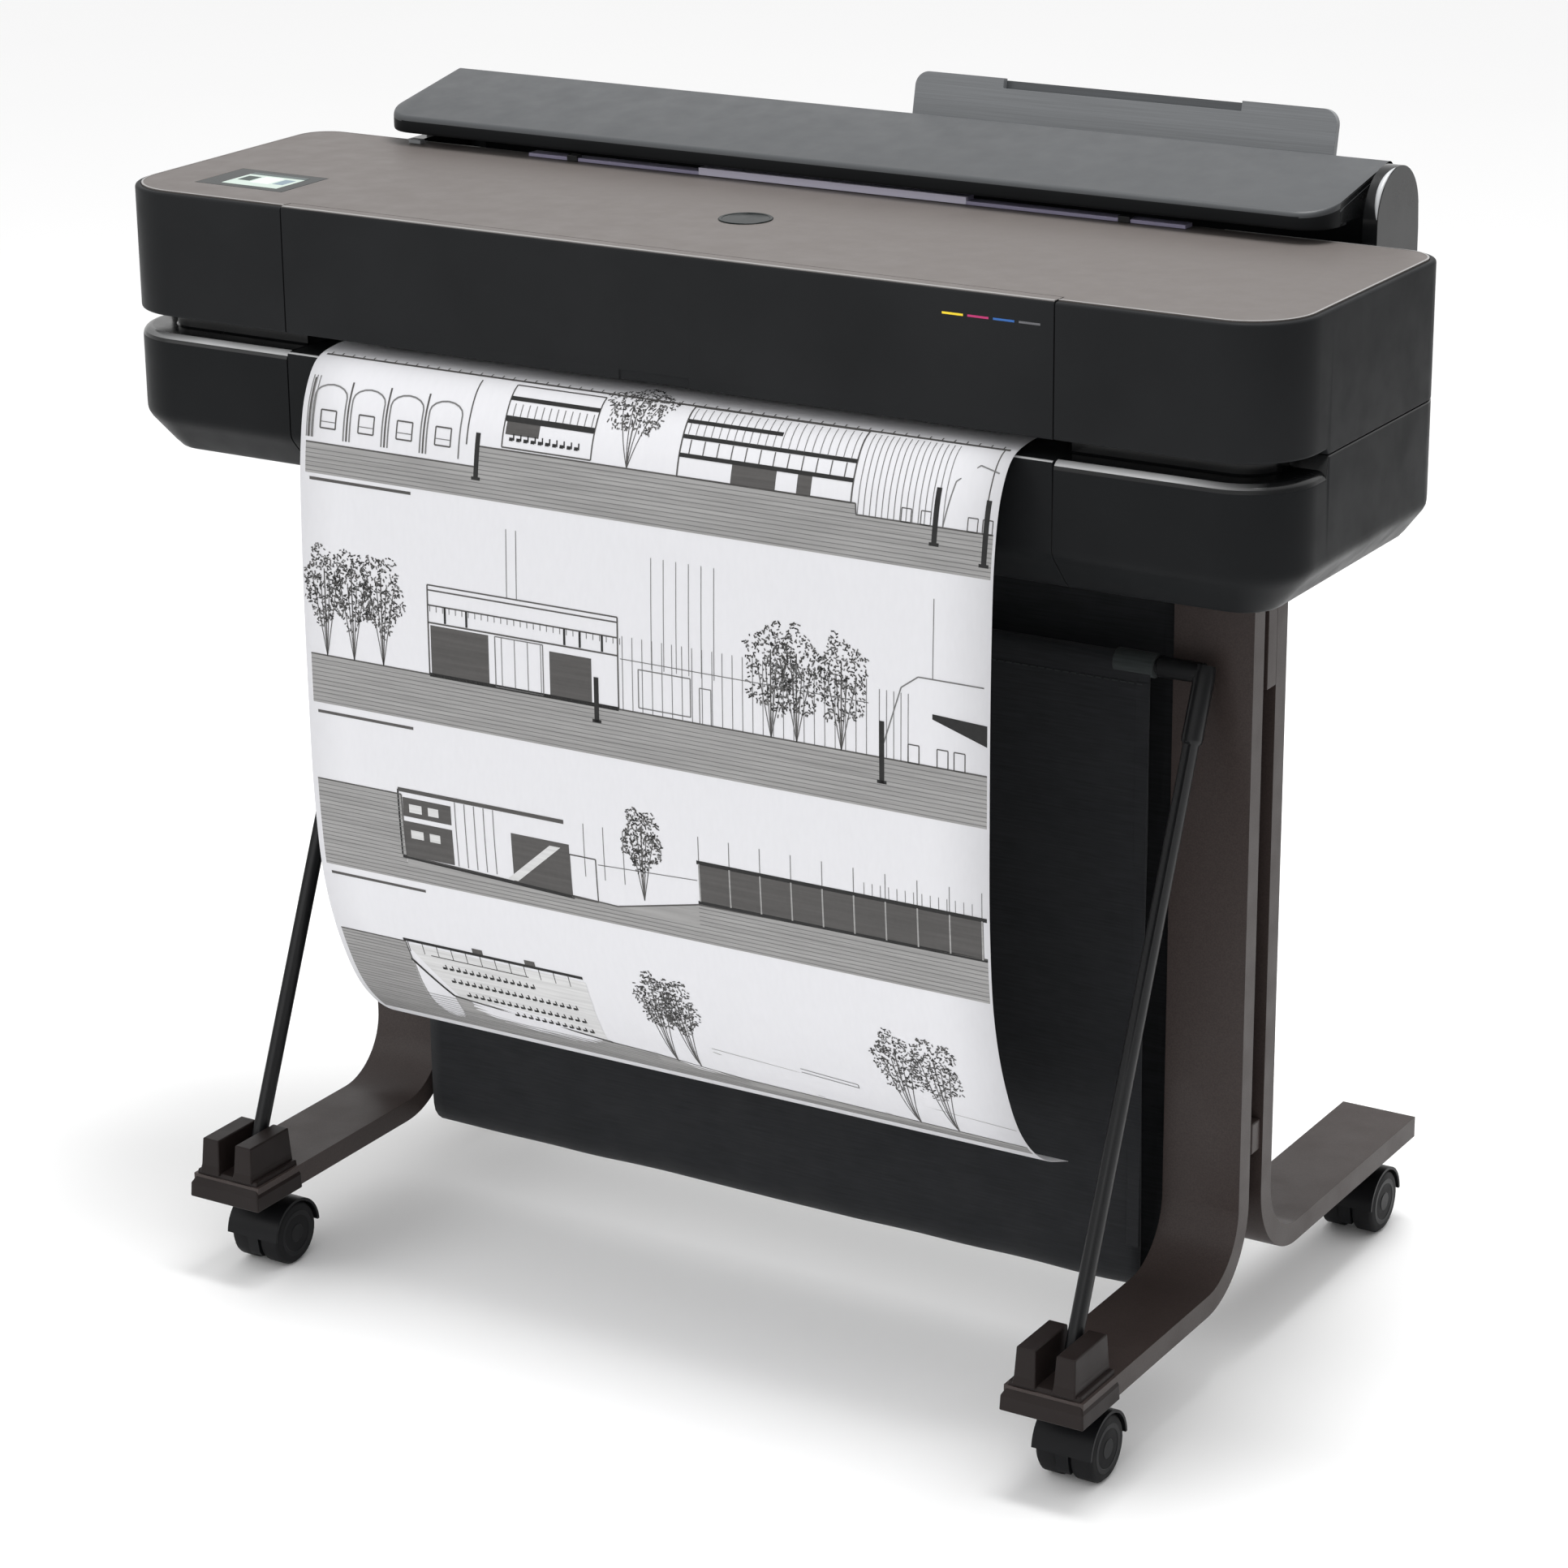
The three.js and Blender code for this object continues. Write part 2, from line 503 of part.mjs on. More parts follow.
// ---------- paper path and mechanism ----------
function platen() {
  const { y, z, edge } = PLATEN;
  const profile = polygon([[y[0], z[0] + edge], [y[0], z[1] - edge], [y[0] + edge, z[1]],
    [y[1] - edge, z[1]], [y[1], z[1] - edge], [y[1], z[0]], [y[0] + edge, z[0]]]);
  return mesh('platen', prismX(profile, [SEAM_LEFT + 12, SEAM_RIGHT - 12]), GREY);
}

function driveRoller() {
  const end = PAPER_HALF + 12;
  const stations = [[PULLEY_X[0] - 4, ROLLER.shaft], [PULLEY_X[0], ROLLER.shaft],
    [PULLEY_X[0], ROLLER.pulley], [PULLEY_X[1], ROLLER.pulley], [PULLEY_X[1], ROLLER.shaft],
    [-end, ROLLER.shaft], [-end, ROLLER.radius], [end, ROLLER.radius], [end, ROLLER.shaft],
    [end + 24, ROLLER.shaft]];
  return mesh('drive_roller', turnedX(stations, ROLLER.y, ROLLER.z), STEEL);
}

function pinchRoller() {
  const step = 2 * PAPER_HALF / PINCH.count;
  const stations = [[-PAPER_HALF - 8, PINCH.shaft]];
  for (let i = 0; i < PINCH.count; i += 1) {
    const x = -PAPER_HALF + (i + 0.5) * step;
    stations.push([x - PINCH.width / 2, PINCH.shaft], [x - PINCH.width / 2, PINCH.radius],
      [x + PINCH.width / 2, PINCH.radius], [x + PINCH.width / 2, PINCH.shaft]);
  }
  stations.push([PAPER_HALF + 8, PINCH.shaft]);
  return mesh('pinch_roller', turnedX(stations, ROLLER.y, PINCH.z, 16), RUBBER);
}

function feedMotor() {
  return mesh('feed_motor', rodX(MOTOR.radius, MOTOR.x, MOTOR.y, MOTOR.z), STEEL);
}

function motorPulley() {
  const stations = [[MOTOR.x[1] + GAP, MOTOR.shaft], [PULLEY_X[0], MOTOR.shaft], [PULLEY_X[0], MOTOR.pulley],
    [PULLEY_X[1], MOTOR.pulley]];
  return mesh('motor_pulley', turnedX(stations, MOTOR.y, MOTOR.z), STEEL);
}

// The outline of a belt that runs round both pulleys, grown by the given amount.
function beltShape(grow) {
  const reach = new THREE.Vector2(ROLLER.y - MOTOR.y, ROLLER.z - MOTOR.z);
  const lean = reach.angle();
  const wide = ROLLER.pulley + grow;
  const narrow = MOTOR.pulley + grow;
  const wrap = Math.acos((narrow - wide) / reach.length());
  const shape = new THREE.Shape();
  shape.absarc(ROLLER.y, ROLLER.z, wide, lean - wrap, lean + wrap);
  shape.absarc(MOTOR.y, MOTOR.z, narrow, lean + wrap, lean - wrap + 2 * Math.PI);
  return shape;
}

function feedBelt() {
  const x = [PULLEY_X[0] + 1, PULLEY_X[1] - 1];
  const outer = toSolid(prismX(beltShape(BELT_THICK + 2 * GAP), x, 16));
  return mesh('feed_belt', cut(outer, prismX(beltShape(2 * GAP), [x[0] - 1, x[1] + 1], 16)), RUBBER);
}

function guideRail() {
  return mesh('guide_rail', rodX(RAIL.radius, [-RAIL.half, RAIL.half], RAIL.y, RAIL.z), STEEL);
}

function crossBeam() {
  const { y, z, wall } = BEAM;
  const profile = polygon([[y[0], z[1]], [y[0], z[0]], [y[1], z[0]], [y[1], z[0] + wall],
    [y[0] + wall, z[0] + wall], [y[0] + wall, z[1] - wall], [y[1], z[1] - wall], [y[1], z[1]]]);
  return mesh('cross_beam', prismX(profile, [SEAM_LEFT + 4, SEAM_RIGHT - 4]), STEEL);
}

function printCarriage() {
  const x = [-CARRIAGE.half, CARRIAGE.half];
  const body = join(block(x, CARRIAGE.y, [CARRIAGE.z[0] + 16, CARRIAGE.z[1]]),
    block([x[0] + 10, x[1] - 10], [CARRIAGE.y[0] + 6, RAIL.y - 8], [CARRIAGE.z[0], CARRIAGE.z[0] + 17]));
  const bore = rodX(RAIL.radius + GAP, [x[0] - 1, x[1] + 1], RAIL.y, RAIL.z);
  return mesh('print_carriage', cut(body, bore), BLACK);
}

function cutterShuttle() {
  return mesh('cutter_shuttle', block(CUTTER.x, CUTTER.y, CUTTER.z), GREY);
}

function serviceStation() {
  const { x, y, z, wall, depth } = STATION;
  const basin = block([x[0] + wall, x[1] - wall], [y[0] + wall, y[1] - wall], [z[1] - depth, z[1] + 1]);
  return mesh('service_station', cut(toSolid(block(x, y, z)), basin), BLACK);
}

function inkCartridge([name, colour], index) {
  const x = INK.first + index * INK.step;
  const body = block([x - INK.width / 2, x + INK.width / 2], INK.y, INK.z);
  return mesh(`ink_cartridge_${name}`, body, finish(colour, 0.5));
}

function inkBay() {
  const x = [INK.first - INK.width / 2 - 3, SEAM_RIGHT - 1];
  const y = [INK.y[0] - 3, INK.y[1] + 3];
  const tray = toSolid(block(x, y, [INK.z[0] - 4, INK.z[0] + 22]));
  const room = block([x[0] + 2, x[1] - 2], [y[0] + 2, y[1] - 2], [INK.z[0] - GAP, INK.z[0] + 30]);
  return mesh('ink_bay', cut(tray, room), BLACK);
}

// The sheet's path in (y, z): from the roll over the drive roller, out of the slot and down in front.
function sheetPath() {
  const inside = [[ROLL.y - 4, ROLL.z + ROLL.radius + 1.6], [306, 858], [276, 844], [236, 812], [196, 785],
    [168, PAPER_Z + 0.4], [140, PAPER_Z], [60, PAPER_Z], [18, PAPER_Z + 0.6]];
  const hanging = [[-8, 773], [-24, 750], [-33, 710], [-37, 640], [-38, 520], [-36, 420], [-28, 350],
    [-10, 292], [16, 244], [50, 212], [92, 194]];
  const points = [...inside, ...hanging].map(([y, z]) => new THREE.Vector3(0, y, z));
  return new THREE.CatmullRomCurve3(points, false, 'centripetal');
}

function printedSheet() {
  const curve = sheetPath();
  const half = PAPER_THICK / 2;
  const front = [];
  const back = [];
  for (let i = 0; i <= SHEET_STEPS; i += 1) {
    const point = curve.getPointAt(i / SHEET_STEPS);
    const along = curve.getTangentAt(i / SHEET_STEPS);
    front.push([point.y - along.z * half, point.z + along.y * half]);
    back.push([point.y + along.z * half, point.z - along.y * half]);
  }
  const profile = polygon([...front, ...back.reverse()]);
  return mesh('printed_sheet', prismX(profile, [-PAPER_HALF, PAPER_HALF]), PAPER);
}

// ---------- stand ----------
// One J-shaped plate of a leg, bending towards +1 (rear) or -1 (front).
function legProfile(toward, footEnd) {
  const face = LEG_MIDDLE + toward * LEG_GAP / 2;
  const outside = face + toward * LEG_PLATE;
  const centreY = face + toward * LEG_BEND;
  const centreZ = FOOT_BOTTOM + LEG_BEND;
  const turn = toward < 0;
  const faceAngle = turn ? 0 : Math.PI;
  const lowAngle = turn ? -Math.PI / 2 : Math.PI * 1.5;
  const shape = new THREE.Shape();
  shape.moveTo(outside, LEG_TOP);
  shape.lineTo(face, LEG_TOP);
  shape.lineTo(face, centreZ);
  shape.absarc(centreY, centreZ, LEG_BEND, faceAngle, lowAngle, turn);
  shape.lineTo(footEnd, FOOT_BOTTOM);
  shape.lineTo(footEnd, FOOT_BOTTOM + LEG_PLATE);
  shape.lineTo(centreY, FOOT_BOTTOM + LEG_PLATE);
  shape.absarc(centreY, centreZ, LEG_BEND - LEG_PLATE, lowAngle, faceAngle, !turn);
  return shape;
}

function footCap(name) {
  const half = LEG_WIDTH / 2 + 2;
  const depth = [FRONT_REACH, CAP.rear];
  const inner = CAP.slot / 2;
  const outer = inner + CAP.block;
  const towerY = [FRONT_REACH + 2, CAP.rear];
  const towerZ = [CAP.base - 1, CAP.top];
  const towers = [-1, 1].map((side) => block(mirrored([inner, outer], side), towerY, towerZ));
  const solid = join(block([-half, half], depth, [CAP.low, CAP.base]), ...towers);
  const pocketX = [-LEG_WIDTH / 2 - GAP, LEG_WIDTH / 2 + GAP];
  const pocketY = [FRONT_REACH + CAP_LIP - GAP, CAP.rear + 1];
  const pocket = block(pocketX, pocketY, [FOOT_BOTTOM - GAP, FOOT_BOTTOM + LEG_PLATE + GAP]);
  return mesh(name, cut(solid, pocket), BROWN);
}

function leg(sideName, side) {
  const half = LEG_WIDTH / 2;
  const front = mesh(`leg_${sideName}_front`,
    prismX(legProfile(-1, FRONT_REACH + CAP_LIP), [-half, half], 10), BROWN);
  const rear = mesh(`leg_${sideName}_rear`, prismX(legProfile(1, REAR_REACH), [-half, half], 10), BROWN);
  const group = groupOf(front, rear, footCap(`foot_cap_${sideName}`));
  group.position.x = side * LEG_X;
  return group;
}

function standTopFrame() {
  const half = LEG_X + LEG_WIDTH / 2;
  const headX = [half - LEG_WIDTH - HEAD.lap, half + HEAD.lap];
  const headZ = [LEG_TOP + GAP, CASE_BOTTOM - GAP];
  const heads = [-1, 1].map((side) => block(mirrored(headX, side), HEAD.y, headZ));
  const web = block([-half, half], BRACE_Y, [CROSS_LOW, LEG_TOP + 1]);
  return mesh('stand_top_frame', join(web, ...heads), BROWN);
}

function standLowerBrace() {
  const half = LEG_X + LEG_WIDTH / 2 - LOWER_BRACE.inset;
  return mesh('stand_lower_brace', block([-half, half], BRACE_Y, LOWER_BRACE.z), BROWN);
}

// ---------- casters ----------
function casterFork(name, top) {
  const hub = CASTER.trail;
  const spread = [Math.PI * 0.02, Math.PI * 0.98];
  const hood = new THREE.Shape();
  hood.absarc(hub, WHEEL_RADIUS, CASTER.hood, ...spread);
  hood.absarc(hub, WHEEL_RADIUS, CASTER.hood - CASTER.skin, ...spread.reverse(), true);
  const web = new THREE.Shape();
  web.absarc(hub, WHEEL_RADIUS, CASTER.hood - 1, 0, Math.PI * 2);
  const wide = CASTER.plate / 2 + CASTER.tyre + 1;
  const narrow = CASTER.plate / 2 - 0.6;
  const webSolid = toSolid(prismX(web, [-narrow, narrow]))
    .intersect(toSolid(block([-wide, wide], [-2 * CASTER.hood, 2 * CASTER.hood], [CASTER.webLow, top])));
  const stem = rodZ(CASTER.stem, 0, 0, [WHEEL_RADIUS + BEYOND, top]);
  const solid = join(prismX(hood, [-wide, wide], 12), stem).add(webSolid);
  const bore = rodX(CASTER.axle + GAP, [-wide, wide], hub, WHEEL_RADIUS);
  return mesh(name, cut(solid, bore), BLACK);
}

function casterWheel(name) {
  const inside = CASTER.plate / 2;
  const outside = inside + CASTER.tyre;
  const soft = 3;
  const tyre = [[inside, CASTER.axle], [inside, WHEEL_RADIUS - 1], [inside + 1, WHEEL_RADIUS],
    [outside - soft, WHEEL_RADIUS], [outside, WHEEL_RADIUS - soft]];
  const otherTyre = tyre.map(([x, radius]) => [-x, radius]).reverse();
  return mesh(name, turnedX([...otherTyre, ...tyre], CASTER.trail, WHEEL_RADIUS, 32), RUBBER);
}

function caster(place, x, y, top) {
  const group = groupOf(casterFork(`caster_fork_${place}`, top), casterWheel(`caster_wheel_${place}`));
  group.position.set(x, y, 0);
  return group;
}

function casters() {
  const pieces = [];
  for (const [sideName, side] of [['left', -1], ['right', 1]]) {
    pieces.push(caster(`front_${sideName}`, side * LEG_X, CASTER_FRONT_Y, CAP.low - GAP));
    pieces.push(caster(`rear_${sideName}`, side * LEG_X, CASTER_REAR_Y, FOOT_BOTTOM - GAP));
  }
  return groupOf(...pieces);
}

// ---------- basket ----------
function ellipse(halfX, halfY) {
  return new THREE.Shape().absellipse(0, 0, halfX, halfY, 0, Math.PI * 2);
}

function basketRod(name, side) {
  const reach = new THREE.Vector2(TUBE.y - ROD.y, TUBE.z - ROD.z);
  const lean = Math.atan2(reach.x, reach.y);
  const span = reach.length();
  const thicker = ROD.half.map((size) => size + ROD.skin);
  const bar = prismZ(ellipse(...ROD.half), [-ROD.below, span]);
  const sleeve = prismZ(ellipse(...thicker), [span - ROD.sleeve, span + TUBE.radius + ROD.skin]);
  const straight = [bar, sleeve].map((part) => part.rotateX(-lean).translate(side * ROD.x, ROD.y, ROD.z));
  const elbowX = mirrored([TUBE.half + GAP, ROD.x + 5], side);
  const elbow = rodX(TUBE.radius + ROD.skin, elbowX, TUBE.y, TUBE.z);
  return mesh(name, join(...straight, elbow), BLACK);
}

function basketTube() {
  return mesh('basket_tube', rodX(TUBE.radius, [-TUBE.half, TUBE.half], TUBE.y, TUBE.z), BLACK);
}

function basketFront() {
  const inner = TUBE.radius + FABRIC.slack;
  const outer = inner + FABRIC.thick;
  const x = [-FABRIC.half, FABRIC.half];
  const face = TUBE.y - outer;
  const layer = block(x, [face, face + FABRIC.thick], [FABRIC.split + GAP, TUBE.z]);
  const hem = rodX(outer, x, TUBE.y, TUBE.z);
  const solid = cut(join(layer, hem), rodX(inner, [x[0] - 1, x[1] + 1], TUBE.y, TUBE.z));
  return mesh('basket_fabric_front', solid, CLOTH);
}

function basketRear() {
  const face = TUBE.y - TUBE.radius - FABRIC.slack - FABRIC.thick;
  const outer = (FABRIC.rear - face) / 2;
  const centre = face + outer;
  const shape = new THREE.Shape();
  shape.moveTo(FABRIC.rear, FABRIC.top);
  shape.lineTo(FABRIC.rear - FABRIC.thick, FABRIC.top);
  shape.lineTo(FABRIC.rear - FABRIC.thick, FABRIC.fold);
  shape.absarc(centre, FABRIC.fold, outer - FABRIC.thick, 0, Math.PI, true);
  shape.lineTo(face + FABRIC.thick, FABRIC.split);
  shape.lineTo(face, FABRIC.split);
  shape.absarc(centre, FABRIC.fold, outer, Math.PI, 2 * Math.PI, false);
  return mesh('basket_fabric_rear', prismX(shape, [-FABRIC.half, FABRIC.half], 8), CLOTH);
}

// ---------- the whole machine ----------
const group = groupOf(
  upperEnd('upper_end_left', -1), upperEnd('upper_end_right', 1),
  topCover(), displayPanel(), frontCover(),
  lowerEnd('lower_end_left', -1), lowerEnd('lower_end_right', 1),
  lowerFrontPanel(), basePan(), electronicsBox(), powerInlet(),
  rollBay(), rollEnd('roll_end_left', -1, END_PLATE.lug),
  rollEnd('roll_end_right', 1, END_PLATE.radius), rollCover(),
  feeder(), inputGuide(), spindle(), spindleStop(), paperRoll(),
  platen(), driveRoller(), pinchRoller(), feedMotor(), motorPulley(), feedBelt(),
  guideRail(), crossBeam(), printCarriage(), cutterShuttle(), serviceStation(),
  inkBay(), ...INK.inks.map(inkCartridge), printedSheet(),
  leg('left', -1), leg('right', 1), standTopFrame(), standLowerBrace(), casters(),
  basketRod('basket_rod_left', -1), basketRod('basket_rod_right', 1), basketTube(),
  basketFront(), basketRear(),
);
group.position.y = -(FRONT_REACH + REAR_REACH) / 2;

export default group;
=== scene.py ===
"""The looks of a 24-inch roll-fed large format plotter: shells, hanging print, basket, materials and light.

Places are in millimetres: x across, back behind the case's front face, z above the floor.
"""
import math
import random

import bmesh
import bpy
from mathutils import Matrix, Vector, noise


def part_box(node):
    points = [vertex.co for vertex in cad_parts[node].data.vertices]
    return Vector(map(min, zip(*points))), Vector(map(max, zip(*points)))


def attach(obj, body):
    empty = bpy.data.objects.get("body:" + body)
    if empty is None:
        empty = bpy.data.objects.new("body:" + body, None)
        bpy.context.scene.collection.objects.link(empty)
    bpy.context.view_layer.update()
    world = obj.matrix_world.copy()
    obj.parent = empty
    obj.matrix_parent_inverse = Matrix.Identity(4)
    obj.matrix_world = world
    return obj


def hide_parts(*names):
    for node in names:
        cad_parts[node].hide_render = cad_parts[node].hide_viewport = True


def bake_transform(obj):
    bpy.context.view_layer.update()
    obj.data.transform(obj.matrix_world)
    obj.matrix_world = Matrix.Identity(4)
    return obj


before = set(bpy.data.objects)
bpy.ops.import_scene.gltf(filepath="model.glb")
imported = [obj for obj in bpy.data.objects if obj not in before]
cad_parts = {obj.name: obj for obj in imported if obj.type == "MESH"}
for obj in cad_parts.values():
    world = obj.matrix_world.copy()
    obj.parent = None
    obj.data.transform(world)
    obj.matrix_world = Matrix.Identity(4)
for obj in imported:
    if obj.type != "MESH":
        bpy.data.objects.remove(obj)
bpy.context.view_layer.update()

MM = 0.001
FRONT_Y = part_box("front_cover")[0].y


class Span:
    """Where a CAD node lies: its lowest and highest x, back and z in millimetres."""

    def __init__(self, node):
        low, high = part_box(node)
        self.x = (low.x / MM, high.x / MM)
        self.back = ((low.y - FRONT_Y) / MM, (high.y - FRONT_Y) / MM)
        self.z = (low.z / MM, high.z / MM)

    def middle(self):
        return tuple(sum(pair) / 2 for pair in (self.x, self.back, self.z))


LEFT_END, RIGHT_END = Span("lower_end_left"), Span("lower_end_right")
FRONT_COVER = Span("front_cover")
TOP_PLATE = Span("top_cover")
ROLL_COVER = Span("roll_cover")
SHEET = Span("printed_sheet")
TUBE = Span("basket_tube")
CLOTH = Span("basket_fabric_rear")

CASE_HALF = RIGHT_END.x[1]
CASE_REAR = RIGHT_END.back[1]
CASE_TOP = TOP_PLATE.z[1]
CASE_LOW = RIGHT_END.z[0]
RIM_TOP = CASE_TOP - 1
SEAM_LEFT, SEAM_RIGHT = LEFT_END.x[1], RIGHT_END.x[0]
UNDERSIDE = FRONT_COVER.z[0]     # underside of the upper half, above the recess
SHELF = UNDERSIDE - 15           # floor of the recess
PARTING = UNDERSIDE - 4          # parting line behind the recess
NECK = 28                        # depth of the recess
RECESS_END = 70                  # how far back the recess runs along the sides
CORNER_FRONT, CORNER_REAR = 55, 32
CHAMFER_TOP, CHAMFER = 704, 26   # where the sloping underside starts, and how far it goes in
PAPER_HALF = SHEET.x[1]
HINGE_BACK, HINGE_Z = 345, 895   # axis of the roll cover
SIDES = ((-1, "left"), (1, "right"))


# ---------- mesh helpers ----------
def place(x, back, z):
    return Vector((x * MM, FRONT_Y + back * MM, z * MM))


def piece(name, points, faces, material, body="machine", slot=None, sharp=35):
    """A new smooth-shaded mesh from millimetre points, with hard edges above the sharp angle."""
    mesh = bpy.data.meshes.new(name)
    mesh.from_pydata([place(*point) for point in points], [], faces)
    made = bmesh.new()
    made.from_mesh(mesh)
    bmesh.ops.remove_doubles(made, verts=made.verts, dist=0.02 * MM)
    bmesh.ops.recalc_face_normals(made, faces=made.faces)
    made.to_mesh(mesh)
    made.free()
    finish_mesh(mesh, sharp)
    obj = bpy.data.objects.new(name, mesh)
    bpy.context.scene.collection.objects.link(obj)
    mesh.materials.append(material)
    if body:
        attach(obj, body)
    return obj


def finish_mesh(mesh, sharp):
    for polygon in mesh.polygons:
        polygon.use_smooth = True
    mesh.set_sharp_from_angle(angle=math.radians(sharp))


def bevel(obj, width, segments=3, angle=30):
    made = obj.modifiers.new("edges", "BEVEL")
    made.width = width * MM
    made.segments = segments
    made.limit_method = "ANGLE"
    made.angle_limit = math.radians(angle)
    made.harden_normals = True


def thicken(obj, thickness, offset=-1.0):
    made = obj.modifiers.new("wall", "SOLIDIFY")
    made.thickness = thickness * MM
    made.offset = offset
    made.use_even_offset = True


def rings_to_faces(count, rings, closed=True):
    """Quads between neighbouring rings of points that all have the same count."""
    faces = []
    for ring in range(rings - 1):
        low, high = ring * count, (ring + 1) * count
        for i in range(count if closed else count - 1):
            j = (i + 1) % count
            faces.append((low + i, low + j, high + j, high + i))
    return faces


def loft_x(sections, caps=True):
    """A body through (x, outline) sections, each outline a closed list of (back, z)."""
    count = len(sections[0][1])
    points = [(x, back, z) for x, outline in sections for back, z in outline]
    faces = rings_to_faces(count, len(sections))
    if caps:
        faces.append(tuple(reversed(range(count))))
        faces.append(tuple(range(len(points) - count, len(points))))
    return points, faces


def slab(x, back, z):
    """A box as points and faces."""
    points = [(a, b, c) for a in x for b in back for c in z]
    faces = [(0, 1, 3, 2), (4, 6, 7, 5), (0, 4, 5, 1), (2, 3, 7, 6), (0, 2, 6, 4), (1, 5, 7, 3)]
    return points, faces


def several(parts):
    """Many (points, faces) as one."""
    points, faces = [], []
    for part_points, part_faces in parts:
        start = len(points)
        points.extend(part_points)
        faces.extend(tuple(start + i for i in face) for face in part_faces)
    return points, faces


def arc(centre, radius, start, end, steps):
    """Points of an arc in two coordinates, angles in degrees."""
    angles = [math.radians(start + (end - start) * i / steps) for i in range(steps + 1)]
    return [(centre[0] + radius * math.cos(a), centre[1] + radius * math.sin(a)) for a in angles]


def turned(profile, centre, axis="x", steps=48):
    """A body of revolution through (distance along the axis, radius) pairs."""
    points = []
    for along, radius in profile:
        for i in range(steps):
            angle = 2 * math.pi * i / steps
            u, v = radius * math.cos(angle), radius * math.sin(angle)
            offset = (along, u, v) if axis == "x" else (u, v, along)
            points.append(tuple(c + o for c, o in zip(centre, offset)))
    faces = rings_to_faces(steps, len(profile))
    faces.append(tuple(reversed(range(steps))))
    faces.append(tuple(range(len(points) - steps, len(points))))
    return points, faces


def cut_at(obj, x, keep):
    """Keeps only what lies on one side of a plane across x: keep is -1 or 1."""
    made = bmesh.new()
    made.from_mesh(obj.data)
    bmesh.ops.bisect_plane(made, geom=made.verts[:] + made.edges[:] + made.faces[:],
                           plane_co=(x * MM, 0, 0), plane_no=(-keep, 0, 0), clear_outer=True)
    made.to_mesh(obj.data)
    made.free()


# ---------- materials ----------
class Nodes:
    """A material's node tree, with short calls for the nodes that the finishes share."""

    def __init__(self, name):
        self.material = bpy.data.materials.new(name)
        self.material.use_nodes = True
        self.tree = self.material.node_tree
        self.shader = self.tree.nodes["Principled BSDF"]
        self.coords = self.add("ShaderNodeTexCoord").outputs["Object"]

    def add(self, kind, **settings):
        node = self.tree.nodes.new(kind)
        for key, value in settings.items():
            setattr(node, key, value)
        return node

    def link(self, source, target):
        self.tree.links.new(source, target)

    def noise(self, scale, detail=2.0, stretch=None):
        node = self.add("ShaderNodeTexNoise")
        node.inputs["Scale"].default_value = scale
        node.inputs["Detail"].default_value = detail
        vector = self.coords
        if stretch:
            mapping = self.add("ShaderNodeMapping")
            mapping.inputs["Scale"].default_value = stretch
            self.link(self.coords, mapping.inputs["Vector"])
            vector = mapping.outputs["Vector"]
        self.link(vector, node.inputs["Vector"])
        return node.outputs["Fac"]

    def wave(self, axis, scale, distortion=0.0):
        node = self.add("ShaderNodeTexWave", wave_type="BANDS", bands_direction=axis)
        node.inputs["Scale"].default_value = scale
        node.inputs["Distortion"].default_value = distortion
        self.link(self.coords, node.inputs["Vector"])
        return node.outputs["Fac"]

    def spread(self, source, low, high, start=0.3, end=0.7):
        node = self.add("ShaderNodeMapRange")
        node.inputs["From Min"].default_value = start
        node.inputs["From Max"].default_value = end
        node.inputs["To Min"].default_value = low
        node.inputs["To Max"].default_value = high
        self.link(source, node.inputs["Value"])
        return node.outputs["Result"]

    def math(self, operation, first, second):
        node = self.add("ShaderNodeMath", operation=operation)
        for socket, value in zip(node.inputs, (first, second)):
            if isinstance(value, (int, float)):
                socket.default_value = value
            else:
                self.link(value, socket)
        return node.outputs["Value"]

    def mix(self, factor, first, second):
        node = self.add("ShaderNodeMix", data_type="RGBA")
        node.inputs["A"].default_value = (*first, 1)
        node.inputs["B"].default_value = (*second, 1)
        self.link(factor, node.inputs["Factor"])
        return node.outputs["Result"]

    def bump(self, height, strength, distance):
        node = self.add("ShaderNodeBump")
        node.inputs["Strength"].default_value = strength
        node.inputs["Distance"].default_value = distance
        self.link(height, node.inputs["Height"])
        previous = self.shader.inputs["Normal"]
        if previous.is_linked:
            self.link(previous.links[0].from_socket, node.inputs["Normal"])
        self.link(node.outputs["Normal"], previous)

    def finish(self, pattern, dark, light, gloss, smooth, rough):
        """Base colour between two shades by one pattern, roughness between two values by another."""
        self.link(self.mix(self.spread(pattern, 0, 1), dark, light), self.shader.inputs["Base Color"])
        self.link(self.spread(gloss, smooth, rough), self.shader.inputs["Roughness"])

    def set(self, **values):
        for key, value in values.items():
            socket = self.shader.inputs[key.replace("_", " ").title().replace("Ior", "IOR")]
            socket.default_value = value


def shade(colour, factor):
    return tuple(min(1.0, c * factor) for c in colour)


def moulded(name, colour, roughness, grain=1400, depth=0.25, variation=0.14, specular=0.5):
    """Moulded plastic: fine spark-eroded grain, faint flow marks and slightly uneven gloss."""
    nodes = Nodes(name)
    nodes.finish(nodes.noise(7, 3), shade(colour, 1 - variation), shade(colour, 1 + variation),
                 nodes.noise(42, 4), roughness - 0.05, roughness + 0.06)
    nodes.bump(nodes.noise(grain, 2), depth, 0.00006)
    nodes.set(specular_ior_level=specular)
    return nodes.material


